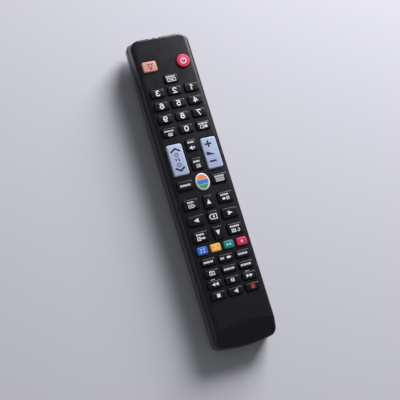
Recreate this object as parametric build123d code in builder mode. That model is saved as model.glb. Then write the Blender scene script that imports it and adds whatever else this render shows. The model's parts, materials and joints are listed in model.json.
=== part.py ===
from build123d import *
import os
from dataclasses import dataclass
from math import sqrt

# Universal remote control lying on its back. +Y runs to the infrared end, +Z out of the keys,
# and the origin is in the middle of the footprint, on the surface that the back rests on.

os.makedirs("parts", exist_ok=True)

# Housing, outside
body_length = 233.0
body_width = 46.4
crown_height = 22.6
seam_height = 13.2
face_inset = 0.8
seam_step = 0.2
seam_corner = 4.0
face_corner = 8.0
end_corner = 5.0
end_bulge = 2.8
shoulder_width = 3.9
shoulder_drop = 0.4
shoulder_radius = 9.0
shoulder_angle = 36.0
roll_off = 1.6
bend_setback = 18.5
bend_radius = 14.0
bend_angle = 29.0
rear_draft = 3.0
rear_round = 3.0
rise_start = 27.0
rise_radius = 120.0
rear_rise = 5.5
cut_overrun = 1.0
broad_share = 0.6
upright_share = 0.4

# Housing, inside
wall = 1.8
ceiling_height = 20.0
lip_height = 1.4
lip_wall = 1.0
lip_root = 2.0
lip_clearance = 0.2

# Key columns, and key rows as shares of the housing's length from its middle
column_count = 3
column_margin = 3.7
colour_spread = 0.8
row_shares = {
    "top": 0.402,
    "source": 0.352,
    "number": 0.312,
    "mute": 0.1296,
    "rocker": 0.0923,
    "list": 0.0687,
    "hub": 0.0094,
    "upper": -0.0519,
    "up": -0.0549,
    "enter": -0.1034,
    "lower": -0.1541,
    "down": -0.1545,
    "colour": -0.197,
    "strip": -0.2339,
}
number_rows = 4
number_pitch_share = 0.0428
strip_rows = 4
strip_pitch_share = 0.03464

# Key caps. A web is what a pitch leaves beside a cap, across a column or along the rows
key_rise = 1.3
cap_edge = 0.5
key_clearance = 0.3
key_travel = 0.9
arrow_taper = 0.5
key_corner = 0.9
number_web = 2.4
number_row_web = 3.57
light_web = 2.2
light_depth = 8.1
power_diameter = 10.4
square_web = 4.8
square_row_web = 5.2
hub_web = 2.2
hub_row_web = 7.9
wide_web = 1.0
wide_depth = 7.0
corner_web = 1.6
corner_depth = 7.8
arrow_web = 0.6
arrow_row_web = 1.9
arrow_breadth = 8.0
colour_web = 1.95
colour_row_web = 2.85
strip_web = 2.0
strip_row_web = 2.57
rocker_web = 0.5
rocker_overlap = 0.6
rocker_corner = 1.0
rocker_clearance = 0.5
rocker_cap_edge = 0.7

# What each key has under the front face
flange_reach = 0.5
flange_gap = 0.2
flange_thickness = 0.8
stem_inset = 1.6
stem_spare = 0.05
rocker_flange_gap = 0.75
rocker_flange_thickness = 0.6
rocker_stem_depth = 3.6
rocker_stem_setback = 4.6
rocker_foot_radius = 0.6
rocker_foot_gap = 0.2

# Circuit board and silicone sheet
board_thickness = 1.2
board_top = 16.6
board_infrared_setback = 10.5
board_battery_setback = 19.5
sheet_thickness = 1.0
sheet_side_gap = 1.1
sheet_margin = 2.5
sheet_clearance = 0.5

# Ribs that hold the board, and the bosses, posts and screws that join the housings
boss_diameter = 4.6
post_diameter = 6.0
boss_hole = 2.5
boss_clearance = 0.4
board_clearance = 0.2
end_rib_side = 4.0
mid_rib_side = 3.2
rest_rib_thickness = 1.6
post_bite = 0.4
screw_setback = 5.037
screw_hole = 2.6
counterbore_diameter = 4.8
counterbore_depth = 7.0
screw_head_diameter = 4.2
screw_head_height = 1.5
screw_shank_diameter = 2.2
screw_shank_length = 9.0

# Battery door and the rails that it slides in
door_side = 5.2
door_thickness = 1.6
door_overlap = 6.0
door_corner = 3.0
door_clearance = 0.15
tongue_reach = 1.2
tongue_width = 2.6
tongue_setback = 9.5
tongue_thickness = 0.8
tongue_clearance = 0.2
tab_width = 10.0
tab_length = 2.4
deck_thickness = 1.2
grip_rib_count = 5
grip_rib_pitch = 2.0
grip_rib_width = 1.0
grip_rib_length = 15.0
grip_rib_depth = 0.45
grip_start = 4.0
arrow_mark_width = 6.0
arrow_mark_side = 4.2

# Battery cells, their pocket and contacts
cell_diameter = 10.5
cell_length = 44.5
cell_nub_diameter = 3.8
cell_nub_length = 0.9
cell_gap = 0.5
cell_tab_gap = 0.3
pocket_side_gap = 0.75
pocket_top_gap = 0.25
pocket_wall = 1.5
pocket_end_room = 14.5
contact_thickness = 0.4
contact_width = 8.0
contact_height = 8.0
contact_seat_gap = 0.05
leaf_depth = 4.6
leaf_width = 6.0
leaf_height = 7.5
leaf_bend = 1.2

# Infrared diodes and their notches
diode_x = -3.8
diode_pitch = 5.0
diode_diameter = 3.0
diode_height = 19.2
diode_length = 5.2
diode_nose = 1.2
diode_nose_share = 0.45
diode_flange_diameter = 3.6
diode_flange_thickness = 0.9
diode_recess = 0.9
lead_width = 0.5
lead_pitch = 1.6
lead_run = 4.4
diode_hole = 3.5
channel_diameter = 4.2
channel_length = 9.0
scallop_radius = 1.8
scallop_setback = 0.9

# Components on the underside of the board
chip_width = 12.0
chip_height = 1.7
chip_edge = 0.3
resonator_length = 7.0
resonator_width = 3.2
resonator_height = 2.4
resonator_gap = 5.0
capacitor_diameter = 5.0
capacitor_length = 7.0
capacitor_x = 9.0
transistor_length = 2.9
transistor_width = 1.6
transistor_height = 1.1
backlight_length = 2.0
backlight_width = 1.2
backlight_height = 0.7
backlight_clearance = 0.4

# Sizes of the housings that follow
half_length = body_length / 2
face_width = body_width - 2 * face_inset
shoulder_start = face_width / 2 - shoulder_width
bend_start = half_length - bend_setback
core_width = face_width - 2 * wall
core_length = body_length - 2 * face_inset - 2 * wall
core_corner = face_corner - wall
core_end_corner = end_corner - wall
core_bend_radius = bend_radius - crown_height + ceiling_height
lip_width = core_width - 2 * lip_clearance
lip_length = core_length - 2 * lip_clearance
lip_corner = core_corner - lip_clearance
lip_end_corner = core_end_corner - lip_clearance

# Sizes of the keys that follow
rows = {name: share * body_length for name, share in row_shares.items()}
number_pitch = number_pitch_share * body_length
strip_pitch = strip_pitch_share * body_length
column_pitch = (body_width - 2 * column_margin) / column_count
number_width = column_pitch - number_web
number_depth = number_pitch - number_row_web
light_width = column_pitch - light_web
square_width = column_pitch - square_web
square_depth = rows["mute"] - rows["list"] - square_row_web
hub_width = column_pitch - hub_web
hub_depth = rows["list"] - rows["up"] - 2 * hub_row_web
wide_width = column_pitch - wide_web
corner_width = column_pitch - corner_web
arrow_length = column_pitch - arrow_web
arrow_reach = 2 * (rows["up"] - rows["enter"]) - square_depth - 2 * arrow_row_web
strip_width = column_pitch - strip_web
strip_depth = strip_pitch - strip_row_web
colour_depth = 2 * (rows["colour"] - rows["strip"]) - strip_depth - 2 * colour_row_web
rocker_width = column_pitch - rocker_web
rocker_depth = rows["mute"] - rows["list"] + square_depth + 2 * rocker_overlap
rocker_stem_spread = rocker_depth - 2 * rocker_stem_setback
key_top = crown_height + key_rise
flange_top = ceiling_height - flange_gap
rocker_flange_top = ceiling_height - rocker_flange_gap
stem_foot = board_top + key_travel + stem_spare

# Sizes of the board, the sheet and the ribs that follow
board_bottom = board_top - board_thickness
board_width = lip_width - 2 * lip_wall - 2 * board_clearance
board_infrared_end = half_length - board_infrared_setback
board_battery_end = half_length - board_battery_setback
sheet_top = board_top + sheet_thickness
sheet_width = core_width - 2 * sheet_side_gap
sheet_infrared_end = rows["top"] + light_depth / 2 + sheet_margin
last_number_row = rows["number"] - (number_rows - 1) * number_pitch
last_strip_row = rows["strip"] - (strip_rows - 1) * strip_pitch
sheet_battery_end = strip_depth / 2 + sheet_margin - last_strip_row
rocker_axis_height = sheet_top + rocker_foot_gap + rocker_foot_radius
end_rib_x = board_width / 2 - board_clearance - end_rib_side / 2
end_rib_y = sheet_infrared_end + sheet_clearance + end_rib_side / 2
mid_rib_x = column_pitch / 2
mid_rib_y = (last_number_row - number_depth / 2 + rows["rocker"] + rocker_depth / 2) / 2
rest_rib_width = 2 * end_rib_x
chip_y = rows["number"] - number_pitch
resonator_y = chip_y - chip_width / 2 - resonator_gap - resonator_width / 2
capacitor_y = rows["source"] + capacitor_length / 2
transistor_y = rows["top"]
post_top = board_bottom - board_clearance

# Sizes of the battery end that follow
door_width = body_width - 2 * door_side
slot_floor = door_thickness - tongue_clearance
slot_ceiling = door_thickness + tongue_thickness + tongue_clearance
slot_width = door_width + 2 * tongue_reach + 2 * door_clearance
cell_height = door_thickness + tongue_thickness + cell_tab_gap + cell_diameter / 2
cell_spread = cell_diameter + cell_gap
pocket_width = cell_spread + cell_diameter + 2 * pocket_side_gap
pocket_length = cell_length + 2 * contact_thickness + leaf_depth + 2 * contact_seat_gap
pocket_ceiling = cell_height + cell_diameter / 2 + pocket_top_gap
pocket_infrared_end = pocket_end_room + pocket_length - half_length
pocket_middle = pocket_infrared_end - pocket_length / 2
door_top_edge = pocket_infrared_end + door_overlap
tongue_length = half_length + door_top_edge - door_corner - tongue_setback
deck_top = slot_ceiling + deck_thickness
deck_width = slot_width + 2 * pocket_wall
deck_infrared_end = door_top_edge + tab_length + door_clearance + pocket_wall
screw_x = (pocket_width + post_diameter) / 2 + pocket_wall - post_bite
screw_y = -sheet_battery_end - screw_setback
notch_reach = board_width / 2 - screw_x + boss_diameter / 2 + boss_clearance

# Sizes of the diodes and corners that follow
diode_tip = half_length - face_inset - diode_recess
diode_base = diode_tip - diode_length
corner_growth_share = 2 - sqrt(2)


@dataclass
class Key:
    """One key: its name, plan shape, middle, plan size and the flat cut at its corners."""

    name: str
    shape: str
    x: float
    y: float
    width: float
    depth: float
    corner: float = key_corner


def key_table():
    """Every key that only presses straight down, row by row from the infrared end."""
    left = -column_pitch
    right = column_pitch
    keys = [
        Key("key_light", "pad", left, rows["top"], light_width, light_depth),
        Key("key_power", "round", right, rows["top"], power_diameter, power_diameter),
        Key("key_source", "pad", 0, rows["source"], number_width, number_depth),
    ]
    names = [
        ["key_3", "key_2", "key_1"],
        ["key_6", "key_5", "key_4"],
        ["key_9", "key_8", "key_7"],
        ["key_text", "key_0", "key_last"],
    ]
    for row, row_names in enumerate(names):
        for name, x in zip(row_names, (left, 0, right)):
            y = rows["number"] - row * number_pitch
            keys.append(Key(name, "pad", x, y, number_width, number_depth))
    keys += [
        Key("key_mute", "pad", 0, rows["mute"], square_width, square_depth),
        Key("key_list", "pad", 0, rows["list"], square_width, square_depth),
        Key("key_guide", "pad", left, rows["hub"], wide_width, wide_depth),
        Key("key_hub", "oval", 0, rows["hub"], hub_width, hub_depth),
        Key("key_menu", "pad", right, rows["hub"], wide_width, wide_depth),
        Key("key_info", "pad", left, rows["upper"], corner_width, corner_depth),
        Key("key_up", "taper_up", 0, rows["up"], arrow_breadth, arrow_reach),
        Key("key_tools", "pad", right, rows["upper"], corner_width, corner_depth),
        Key("key_left", "taper_left", left, rows["enter"], arrow_length, arrow_breadth),
        Key("key_enter", "pad", 0, rows["enter"], square_width, square_depth),
        Key("key_right", "taper_right", right, rows["enter"], arrow_length, arrow_breadth),
        Key("key_exit", "pad", left, rows["lower"], corner_width, corner_depth),
        Key("key_down", "taper_down", 0, rows["down"], arrow_breadth, arrow_reach),
        Key("key_return", "pad", right, rows["lower"], corner_width, corner_depth),
    ]
    colour_names = ["key_blue", "key_amber", "key_green", "key_red"]
    colour_pitch = (column_count * column_pitch + colour_spread) / len(colour_names)
    for place, name in enumerate(colour_names):
        x = (place - (len(colour_names) - 1) / 2) * colour_pitch
        keys.append(Key(name, "pad", x, rows["colour"], colour_pitch - colour_web, colour_depth))
    strip_names = [
        ["key_family", "key_picture", "key_search"],
        ["key_camera", "key_screen", "key_caption"],
        ["key_rewind", "key_pause", "key_forward"],
        ["key_stop", "key_play", "key_record"],
    ]
    for row, row_names in enumerate(strip_names):
        for name, x in zip(row_names, (left, 0, right)):
            y = rows["strip"] - row * strip_pitch
            keys.append(Key(name, "pad", x, y, strip_width, strip_depth))
    return keys


keys = key_table()
rockers = [
    Key("rocker_channel", "pad", -column_pitch, rows["rocker"], rocker_width, rocker_depth, rocker_corner),
    Key("rocker_volume", "pad", column_pitch, rows["rocker"], rocker_width, rocker_depth, rocker_corner),
]


def key_plan(key, grow):
    """Plan of a key cap, or of its opening when it is grown by a clearance."""
    half_width = key.width / 2 + grow
    half_depth = key.depth / 2 + grow
    narrow = arrow_taper
    tapers = {
        "pad": [(-1, -1, 0, 0), (1, -1, 0, 0), (1, 1, 0, 0), (-1, 1, 0, 0)],
        "taper_up": [(-1, -1, 0, 0), (1, -1, 0, 0), (1, 1, -narrow, 0), (-1, 1, narrow, 0)],
        "taper_down": [(-1, 1, 0, 0), (1, 1, 0, 0), (1, -1, -narrow, 0), (-1, -1, narrow, 0)],
        "taper_left": [(1, -1, 0, 0), (1, 1, 0, 0), (-1, 1, 0, -narrow), (-1, -1, 0, narrow)],
        "taper_right": [(-1, -1, 0, 0), (-1, 1, 0, 0), (1, 1, 0, -narrow), (1, -1, 0, narrow)],
    }
    with BuildSketch() as plan:
        with Locations((key.x, key.y)):
            if key.shape == "round":
                Circle(half_width)
            elif key.shape == "oval":
                Ellipse(half_width, half_depth)
            else:
                Polygon(
                    *[(sx * half_width + dx, sy * half_depth + dy) for sx, sy, dx, dy in tapers[key.shape]],
                    align=None,
                )
                chamfer(plan.vertices(), key.corner + grow * corner_growth_share)
    return plan.sketch


def plan_outline(width, length, infrared_corner, battery_corner):
    """Plan of the housing: straight sides and infrared end, bulging battery end."""
    side = width / 2
    tip = length / 2
    with BuildSketch() as plan:
        with BuildLine():
            Polyline((-side, end_bulge - tip), (-side, tip), (side, tip), (side, end_bulge - tip))
            ThreePointArc((side, end_bulge - tip), (0, -tip), (-side, end_bulge - tip))
        make_face()
        fillet(plan.vertices().group_by(Axis.Y)[-1], infrared_corner)
        fillet(plan.vertices().group_by(Axis.Y)[0], battery_corner)
    return plan.sketch


def crown_section():
    """Section across the front face: an almost flat middle and rounded shoulders."""
    shoulder_height = crown_height - shoulder_drop
    with BuildSketch() as section:
        with BuildLine():
            middle = ThreePointArc(
                (-shoulder_start, shoulder_height), (0, crown_height), (shoulder_start, shoulder_height)
            )
            right = JernArc(middle @ 1, middle % 1, shoulder_radius, -shoulder_angle)
            left = JernArc(middle @ 0, -(middle % 0), shoulder_radius, shoulder_angle)
            Polyline(right @ 1, ((right @ 1).X, 0), ((left @ 1).X, 0), left @ 1)
        make_face()
    return section.sketch


def front_side_section(height, radius):
    """Section along the front face, which bends down towards the battery end."""
    with BuildSketch() as section:
        with BuildLine():
            flat = Line((body_length, height), (-bend_start, height))
            bend = JernArc(flat @ 1, flat % 1, radius, bend_angle)
            slope = Line(bend @ 1, bend @ 1 + (bend % 1) * height)
            Polyline(slope @ 1, ((slope @ 1).X, 0), (body_length, 0), flat @ 0)
        make_face()
    return section.sketch


def rear_side_section(lift):
    """Section along the back, raised by a wall: flat past the middle, then sloping up to the infrared end."""
    slope = rear_rise / (half_length - rise_start)
    beyond = (body_length, lift + slope * (body_length - rise_start))
    with BuildSketch() as section:
        with BuildLine():
            back = FilletPolyline((-body_length, lift), (rise_start, lift), beyond, radius=rise_radius)
            Polyline(back @ 1, (body_length, crown_height), (-body_length, crown_height), back @ 0)
        make_face()
    return section.sketch


def rim_edges(part, facing):
    """Edges between the faces that look up or down and the walls round them."""
    broad = part.faces().filter_by(lambda face: face.normal_at().Z * facing > broad_share)
    walls = part.faces().filter_by(lambda face: abs(face.normal_at().Z) < upright_share)
    return ShapeList([edge for edge in broad.edges() if any(edge.is_same(other) for other in walls.edges())])


# Outside of the front housing, before it is hollowed
with BuildPart() as front_form:
    with BuildSketch(Plane.XY.offset(seam_height)):
        add(plan_outline(body_width - 2 * seam_step, body_length - 2 * seam_step, seam_corner, end_corner))
    with BuildSketch(Plane.XY.offset(crown_height)):
        add(plan_outline(face_width, body_length - 2 * face_inset, face_corner, end_corner + face_inset))
    loft()
    with BuildSketch(Plane.XZ):
        add(crown_section())
    extrude(amount=body_length, both=True, mode=Mode.INTERSECT)
    with BuildSketch(Plane.YZ):
        add(front_side_section(crown_height, bend_radius))
    extrude(amount=body_width, both=True, mode=Mode.INTERSECT)
    fillet(rim_edges(front_form, 1), roll_off)

# Outside of the rear housing and its door, before they are parted: the right half and its mirror image
with BuildPart() as rear_form:
    with BuildSketch(Plane.XY.offset(seam_height)):
        add(plan_outline(body_width, body_length, seam_corner, end_corner))
    extrude(amount=-seam_height, taper=rear_draft)
    with BuildSketch(Plane.YZ):
        add(rear_side_section(0))
    extrude(amount=body_width, both=True, mode=Mode.INTERSECT)
    fillet(rim_edges(rear_form, -1), rear_round)
    split(bisect_by=Plane.YZ)
    mirror(about=Plane.YZ)

# Space inside the front housing
with BuildPart() as front_core:
    with BuildSketch(Plane.XY.offset(seam_height - cut_overrun)):
        add(plan_outline(core_width, core_length, core_corner, core_end_corner))
    extrude(amount=ceiling_height - seam_height + cut_overrun)
    with BuildSketch(Plane.YZ):
        add(front_side_section(ceiling_height, core_bend_radius))
    extrude(amount=body_width, both=True, mode=Mode.INTERSECT)

# Space inside the rear housing
with BuildPart() as rear_core:
    with BuildSketch(Plane.XY.offset(seam_height + cut_overrun)):
        add(plan_outline(core_width, core_length, core_corner, core_end_corner))
    extrude(amount=-seam_height - cut_overrun, taper=rear_draft)
    with BuildSketch(Plane.YZ):
        add(rear_side_section(wall))
    extrude(amount=body_width, both=True, mode=Mode.INTERSECT)

diode_places = [(diode_x + side * diode_pitch / 2, 0) for side in (-1, 1)]
end_ribs = [(side * end_rib_x, end_rib_y) for side in (-1, 1)]
mid_ribs = [(side * mid_rib_x, mid_rib_y) for side in (-1, 1)]
rest_ribs = [(0, end_rib_y), (0, mid_rib_y)]
screw_places = [(side * screw_x, screw_y) for side in (-1, 1)]


def end_plane(y):
    """Plane across the housing, seen from the battery end, with its middle at the diodes' height."""
    return Plane(origin=(0, y, diode_height), x_dir=(1, 0, 0), z_dir=(0, -1, 0))


lip_opening = plan_outline(
    lip_width - 2 * lip_wall, lip_length - 2 * lip_wall, lip_corner - lip_wall, lip_end_corner - lip_wall
)


# Front housing: the face with its key openings, ribs down to the board, openings for the diodes
with BuildPart() as front_housing:
    add(front_form.part)
    add(front_core.part, mode=Mode.SUBTRACT)
    with BuildSketch(Plane.XY.offset(ceiling_height)):
        with Locations(*end_ribs):
            Rectangle(end_rib_side, end_rib_side)
        with Locations(*mid_ribs):
            Rectangle(mid_rib_side, mid_rib_side)
    extrude(amount=board_top - ceiling_height)
    with BuildSketch(Plane.XY.offset(ceiling_height)):
        with Locations(*screw_places):
            Circle(boss_diameter / 2)
            Circle(boss_hole / 2, mode=Mode.SUBTRACT)
    extrude(amount=post_top - ceiling_height)
    with BuildSketch(Plane.XY.offset(ceiling_height - cut_overrun)):
        for key in keys:
            add(key_plan(key, key_clearance))
        for rocker in rockers:
            add(key_plan(rocker, rocker_clearance))
    extrude(amount=crown_height - ceiling_height + 2 * cut_overrun, mode=Mode.SUBTRACT)
    with BuildSketch(end_plane(half_length + cut_overrun)):
        with Locations(*diode_places):
            Circle(diode_hole / 2)
    extrude(amount=channel_length, mode=Mode.SUBTRACT)
    with BuildSketch(end_plane(core_length / 2)):
        with Locations(*diode_places):
            Circle(channel_diameter / 2)
    extrude(amount=channel_length, mode=Mode.SUBTRACT)
    with BuildSketch(Plane.XY.offset(diode_height)):
        with Locations(*[(x, half_length - face_inset + scallop_setback) for x, _ in diode_places]):
            Circle(scallop_radius)
    extrude(amount=crown_height - diode_height, mode=Mode.SUBTRACT)
front_housing.part.label = "front_housing"
export_step(front_housing.part, "parts/front_housing.step")

# Solid matter inside the rear housing, cut to its outside: deck, pocket, posts and ribs
with BuildPart() as rear_inside:
    with BuildSketch():
        with Locations((0, deck_infrared_end)):
            Rectangle(deck_width, half_length + deck_infrared_end, align=(Align.CENTER, Align.MAX))
    extrude(amount=deck_top)
    with BuildSketch():
        with Locations((0, pocket_middle)):
            Rectangle(pocket_width + 2 * pocket_wall, pocket_length + 2 * pocket_wall)
    extrude(amount=pocket_ceiling + pocket_wall)
    with BuildSketch():
        with Locations(*screw_places):
            Circle(post_diameter / 2)
    extrude(amount=post_top)
    with BuildSketch():
        with Locations(*rest_ribs):
            Rectangle(rest_rib_width, rest_rib_thickness)
    extrude(amount=board_bottom)
    add(rear_form.part, mode=Mode.INTERSECT)

# What of the posts, ribs and pocket stands above the seam
with BuildPart() as post_heads:
    with BuildSketch(Plane.XY.offset(deck_top)):
        with Locations(*screw_places):
            Circle(post_diameter / 2)
    extrude(amount=post_top - deck_top)
    with BuildSketch(Plane.XY.offset(seam_height - cut_overrun)):
        with Locations(*rest_ribs):
            Rectangle(rest_rib_width, rest_rib_thickness)
    extrude(amount=board_bottom - seam_height + cut_overrun)
    with BuildSketch(Plane.XY.offset(seam_height - cut_overrun)):
        with Locations((0, pocket_middle)):
            Rectangle(pocket_width + 2 * pocket_wall, pocket_length + 2 * pocket_wall)
    extrude(amount=pocket_ceiling + pocket_wall - seam_height + cut_overrun)

# Lip that stands above the seam and stays clear of the bend in the front face
with BuildPart() as lip:
    with BuildSketch(Plane.XY.offset(seam_height)):
        add(plan_outline(lip_width, lip_length, lip_corner, lip_end_corner))
        add(lip_opening, mode=Mode.SUBTRACT)
    extrude(amount=lip_height)
    with BuildSketch(Plane.YZ):
        add(front_side_section(ceiling_height - lip_clearance, core_bend_radius - lip_clearance))
    extrude(amount=body_width, both=True, mode=Mode.INTERSECT)

# Rear housing: tray with a lip, the battery pocket, the door's rails and the posts
with BuildPart() as rear_housing:
    add(rear_form.part)
    add(rear_core.part, mode=Mode.SUBTRACT)
    add(rear_inside.part)
    add(post_heads.part)
    with BuildSketch(Plane.XY.offset(seam_height - lip_root)):
        add(plan_outline(core_width + lip_wall, core_length + lip_wall, core_corner, core_end_corner))
        add(lip_opening, mode=Mode.SUBTRACT)
    extrude(amount=lip_root)
    add(lip.part)
    # recess for the door's plate, then the slot for its tongues and tab
    with BuildSketch():
        with Locations((0, door_top_edge + door_clearance)):
            Rectangle(door_width + 2 * door_clearance, body_length, align=(Align.CENTER, Align.MAX))
    extrude(amount=slot_ceiling, mode=Mode.SUBTRACT)
    with BuildSketch(Plane.XY.offset(slot_floor)):
        with Locations((0, door_top_edge + tab_length + door_clearance)):
            Rectangle(slot_width, body_length, align=(Align.CENTER, Align.MAX))
    extrude(amount=slot_ceiling - slot_floor, mode=Mode.SUBTRACT)
    # pocket for the cells, open towards the door
    with BuildSketch():
        with Locations((0, pocket_middle)):
            Rectangle(pocket_width, pocket_length)
    extrude(amount=pocket_ceiling, mode=Mode.SUBTRACT)
    with BuildSketch(Plane.XY.offset(slot_ceiling)):
        with Locations(*screw_places):
            Circle(counterbore_diameter / 2)
    extrude(amount=counterbore_depth, mode=Mode.SUBTRACT)
    with BuildSketch(Plane.XY.offset(slot_ceiling)):
        with Locations(*screw_places):
            Circle(screw_hole / 2)
    extrude(amount=post_top - slot_ceiling, mode=Mode.SUBTRACT)
rear_housing.part.label = "rear_housing"
export_step(rear_housing.part, "parts/rear_housing.step")

# Battery door: plate flush with the back, a tongue along each side, a tab and a ribbed thumb grip
with BuildPart() as battery_door:
    with BuildSketch():
        with Locations((0, door_top_edge)):
            Rectangle(door_width, half_length + door_top_edge, align=(Align.CENTER, Align.MAX))
    extrude(amount=door_thickness)
    add(rear_form.part, mode=Mode.INTERSECT)
    with BuildSketch(Plane.XY.offset(door_thickness)):
        with Locations((0, door_top_edge - door_corner)):
            for side in (-1, 1):
                with Locations((side * (door_width / 2 + tongue_reach - tongue_width / 2), 0)):
                    Rectangle(tongue_width, tongue_length, align=(Align.CENTER, Align.MAX))
        with Locations((0, door_top_edge + tab_length)):
            Rectangle(tab_width, 2 * tab_length, align=(Align.CENTER, Align.MAX))
    extrude(amount=tongue_thickness)
    with BuildSketch():
        with Locations((0, door_top_edge - grip_start - (grip_rib_count - 1) * grip_rib_pitch / 2)):
            with GridLocations(0, grip_rib_pitch, 1, grip_rib_count):
                Rectangle(grip_rib_length, grip_rib_width)
        with Locations((0, door_top_edge - grip_start - grip_rib_count * grip_rib_pitch)):
            Triangle(
                a=arrow_mark_width,
                b=arrow_mark_side,
                c=arrow_mark_side,
                align=(Align.CENTER, Align.MIN),
                rotation=180,
            )
    extrude(amount=grip_rib_depth, mode=Mode.SUBTRACT)
battery_door.part.label = "battery_door"
export_step(battery_door.part, "parts/battery_door.step")

# Keys: cap, flange that stops it under the face, and stem down through the sheet
for key in keys:
    with BuildPart() as cap:
        with BuildSketch(Plane.XY.offset(flange_top)):
            add(key_plan(key, 0))
        extrude(amount=key_top - flange_top)
        chamfer(cap.edges().group_by(Axis.Z)[-1], cap_edge)
        with BuildSketch(Plane.XY.offset(flange_top)):
            with Locations((key.x, key.y)):
                Rectangle(key.width + 2 * flange_reach, key.depth + 2 * flange_reach)
        extrude(amount=-flange_thickness)
        with BuildSketch(Plane.XY.offset(flange_top - flange_thickness)):
            with Locations((key.x, key.y)):
                Rectangle(key.width - 2 * stem_inset, key.depth - 2 * stem_inset)
        extrude(amount=stem_foot - flange_top + flange_thickness)
    cap.part.label = key.name
    export_step(cap.part, f"parts/{key.name}.step")

# Rockers: cap and flange on a round foot that they tilt about, with a stem at each end
rocker_stems = []
for rocker in rockers:
    ends = [(rocker.x, rocker.y + side * rocker_stem_spread / 2) for side in (-1, 1)]
    rocker_stems += ends
    with BuildPart() as cap:
        with BuildSketch(Plane.XY.offset(rocker_flange_top)):
            add(key_plan(rocker, 0))
        extrude(amount=key_top - rocker_flange_top)
        chamfer(cap.edges().group_by(Axis.Z)[-1], rocker_cap_edge)
        with BuildSketch(Plane.XY.offset(rocker_flange_top)):
            with Locations((rocker.x, rocker.y)):
                Rectangle(rocker.width + 2 * flange_reach, rocker.depth + 2 * flange_reach)
        extrude(amount=-rocker_flange_thickness)
        with BuildSketch(Plane.XY.offset(rocker_flange_top - rocker_flange_thickness)):
            with Locations(*ends):
                Rectangle(rocker.width - 2 * stem_inset, rocker_stem_depth)
        extrude(amount=stem_foot - rocker_flange_top + rocker_flange_thickness)
        with BuildSketch(Plane.YZ.offset(rocker.x)):
            with Locations((rocker.y, rocker_axis_height)):
                Circle(rocker_foot_radius)
        extrude(amount=rocker.width / 2 - stem_inset, both=True)
    cap.part.label = rocker.name
    export_step(cap.part, f"parts/{rocker.name}.step")

# Silicone sheet on the board, with a window round every stem, boss and backlight
backlight_places = [
    (side * column_pitch / 2, rows["number"] - row * number_pitch) for side in (-1, 1) for row in (0, 2)
]
with BuildPart() as keypad_sheet:
    with BuildSketch(Plane.XY.offset(board_top)):
        with Locations((0, (sheet_infrared_end - sheet_battery_end) / 2)):
            Rectangle(sheet_width, sheet_infrared_end + sheet_battery_end)
        for key in keys:
            with Locations((key.x, key.y)):
                Rectangle(
                    key.width - 2 * stem_inset + 2 * sheet_clearance,
                    key.depth - 2 * stem_inset + 2 * sheet_clearance,
                    mode=Mode.SUBTRACT,
                )
        with Locations(*rocker_stems):
            Rectangle(
                rocker_width - 2 * stem_inset + 2 * sheet_clearance,
                rocker_stem_depth + 2 * sheet_clearance,
                mode=Mode.SUBTRACT,
            )
        with Locations(*mid_ribs):
            Rectangle(
                mid_rib_side + 2 * boss_clearance,
                mid_rib_side + 2 * boss_clearance,
                mode=Mode.SUBTRACT,
            )
        with Locations(*backlight_places):
            Rectangle(
                backlight_width + 2 * backlight_clearance,
                backlight_length + 2 * backlight_clearance,
                mode=Mode.SUBTRACT,
            )
    extrude(amount=sheet_thickness)
keypad_sheet.part.label = "keypad_sheet"
export_step(keypad_sheet.part, "parts/keypad_sheet.step")

# Circuit board, notched round the screw bosses
with BuildPart() as circuit_board:
    with BuildSketch(Plane.XY.offset(board_bottom)):
        with Locations((0, (board_infrared_end - board_battery_end) / 2)):
            Rectangle(board_width, board_infrared_end + board_battery_end)
        with Locations(*[(side * board_width / 2, screw_y) for side in (-1, 1)]):
            Rectangle(2 * notch_reach, boss_diameter + 2 * boss_clearance, mode=Mode.SUBTRACT)
    extrude(amount=board_thickness)
circuit_board.part.label = "circuit_board"
export_step(circuit_board.part, "parts/circuit_board.step")

# Components on the underside of the board
with BuildPart() as board_components:
    with BuildSketch(Plane.XY.offset(board_bottom)):
        with Locations((0, chip_y)):
            Rectangle(chip_width, chip_width)
    extrude(amount=-chip_height)
    chamfer(board_components.edges().group_by(Axis.Z)[0], chip_edge)
    with BuildSketch(Plane.XY.offset(board_bottom)):
        with Locations((0, resonator_y)):
            Rectangle(resonator_length, resonator_width)
    extrude(amount=-resonator_height)
    with BuildSketch(Plane.XY.offset(board_bottom)):
        with Locations(*[(side * capacitor_x, transistor_y) for side in (-1, 1)]):
            Rectangle(transistor_length, transistor_width)
    extrude(amount=-transistor_height)
    with BuildSketch(Plane.XZ.offset(-capacitor_y)):
        with Locations((capacitor_x, board_bottom - capacitor_diameter / 2)):
            Circle(capacitor_diameter / 2)
    extrude(amount=capacitor_length)
board_components.part.label = "board_components"
export_step(board_components.part, "parts/board_components.step")

# Small side-lit diodes that light the keys from the board
with BuildPart() as backlight_diodes:
    with BuildSketch(Plane.XY.offset(board_top)):
        with Locations(*backlight_places):
            Rectangle(backlight_width, backlight_length)
    extrude(amount=backlight_height)
backlight_diodes.part.label = "backlight_diodes"
export_step(backlight_diodes.part, "parts/backlight_diodes.step")

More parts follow.
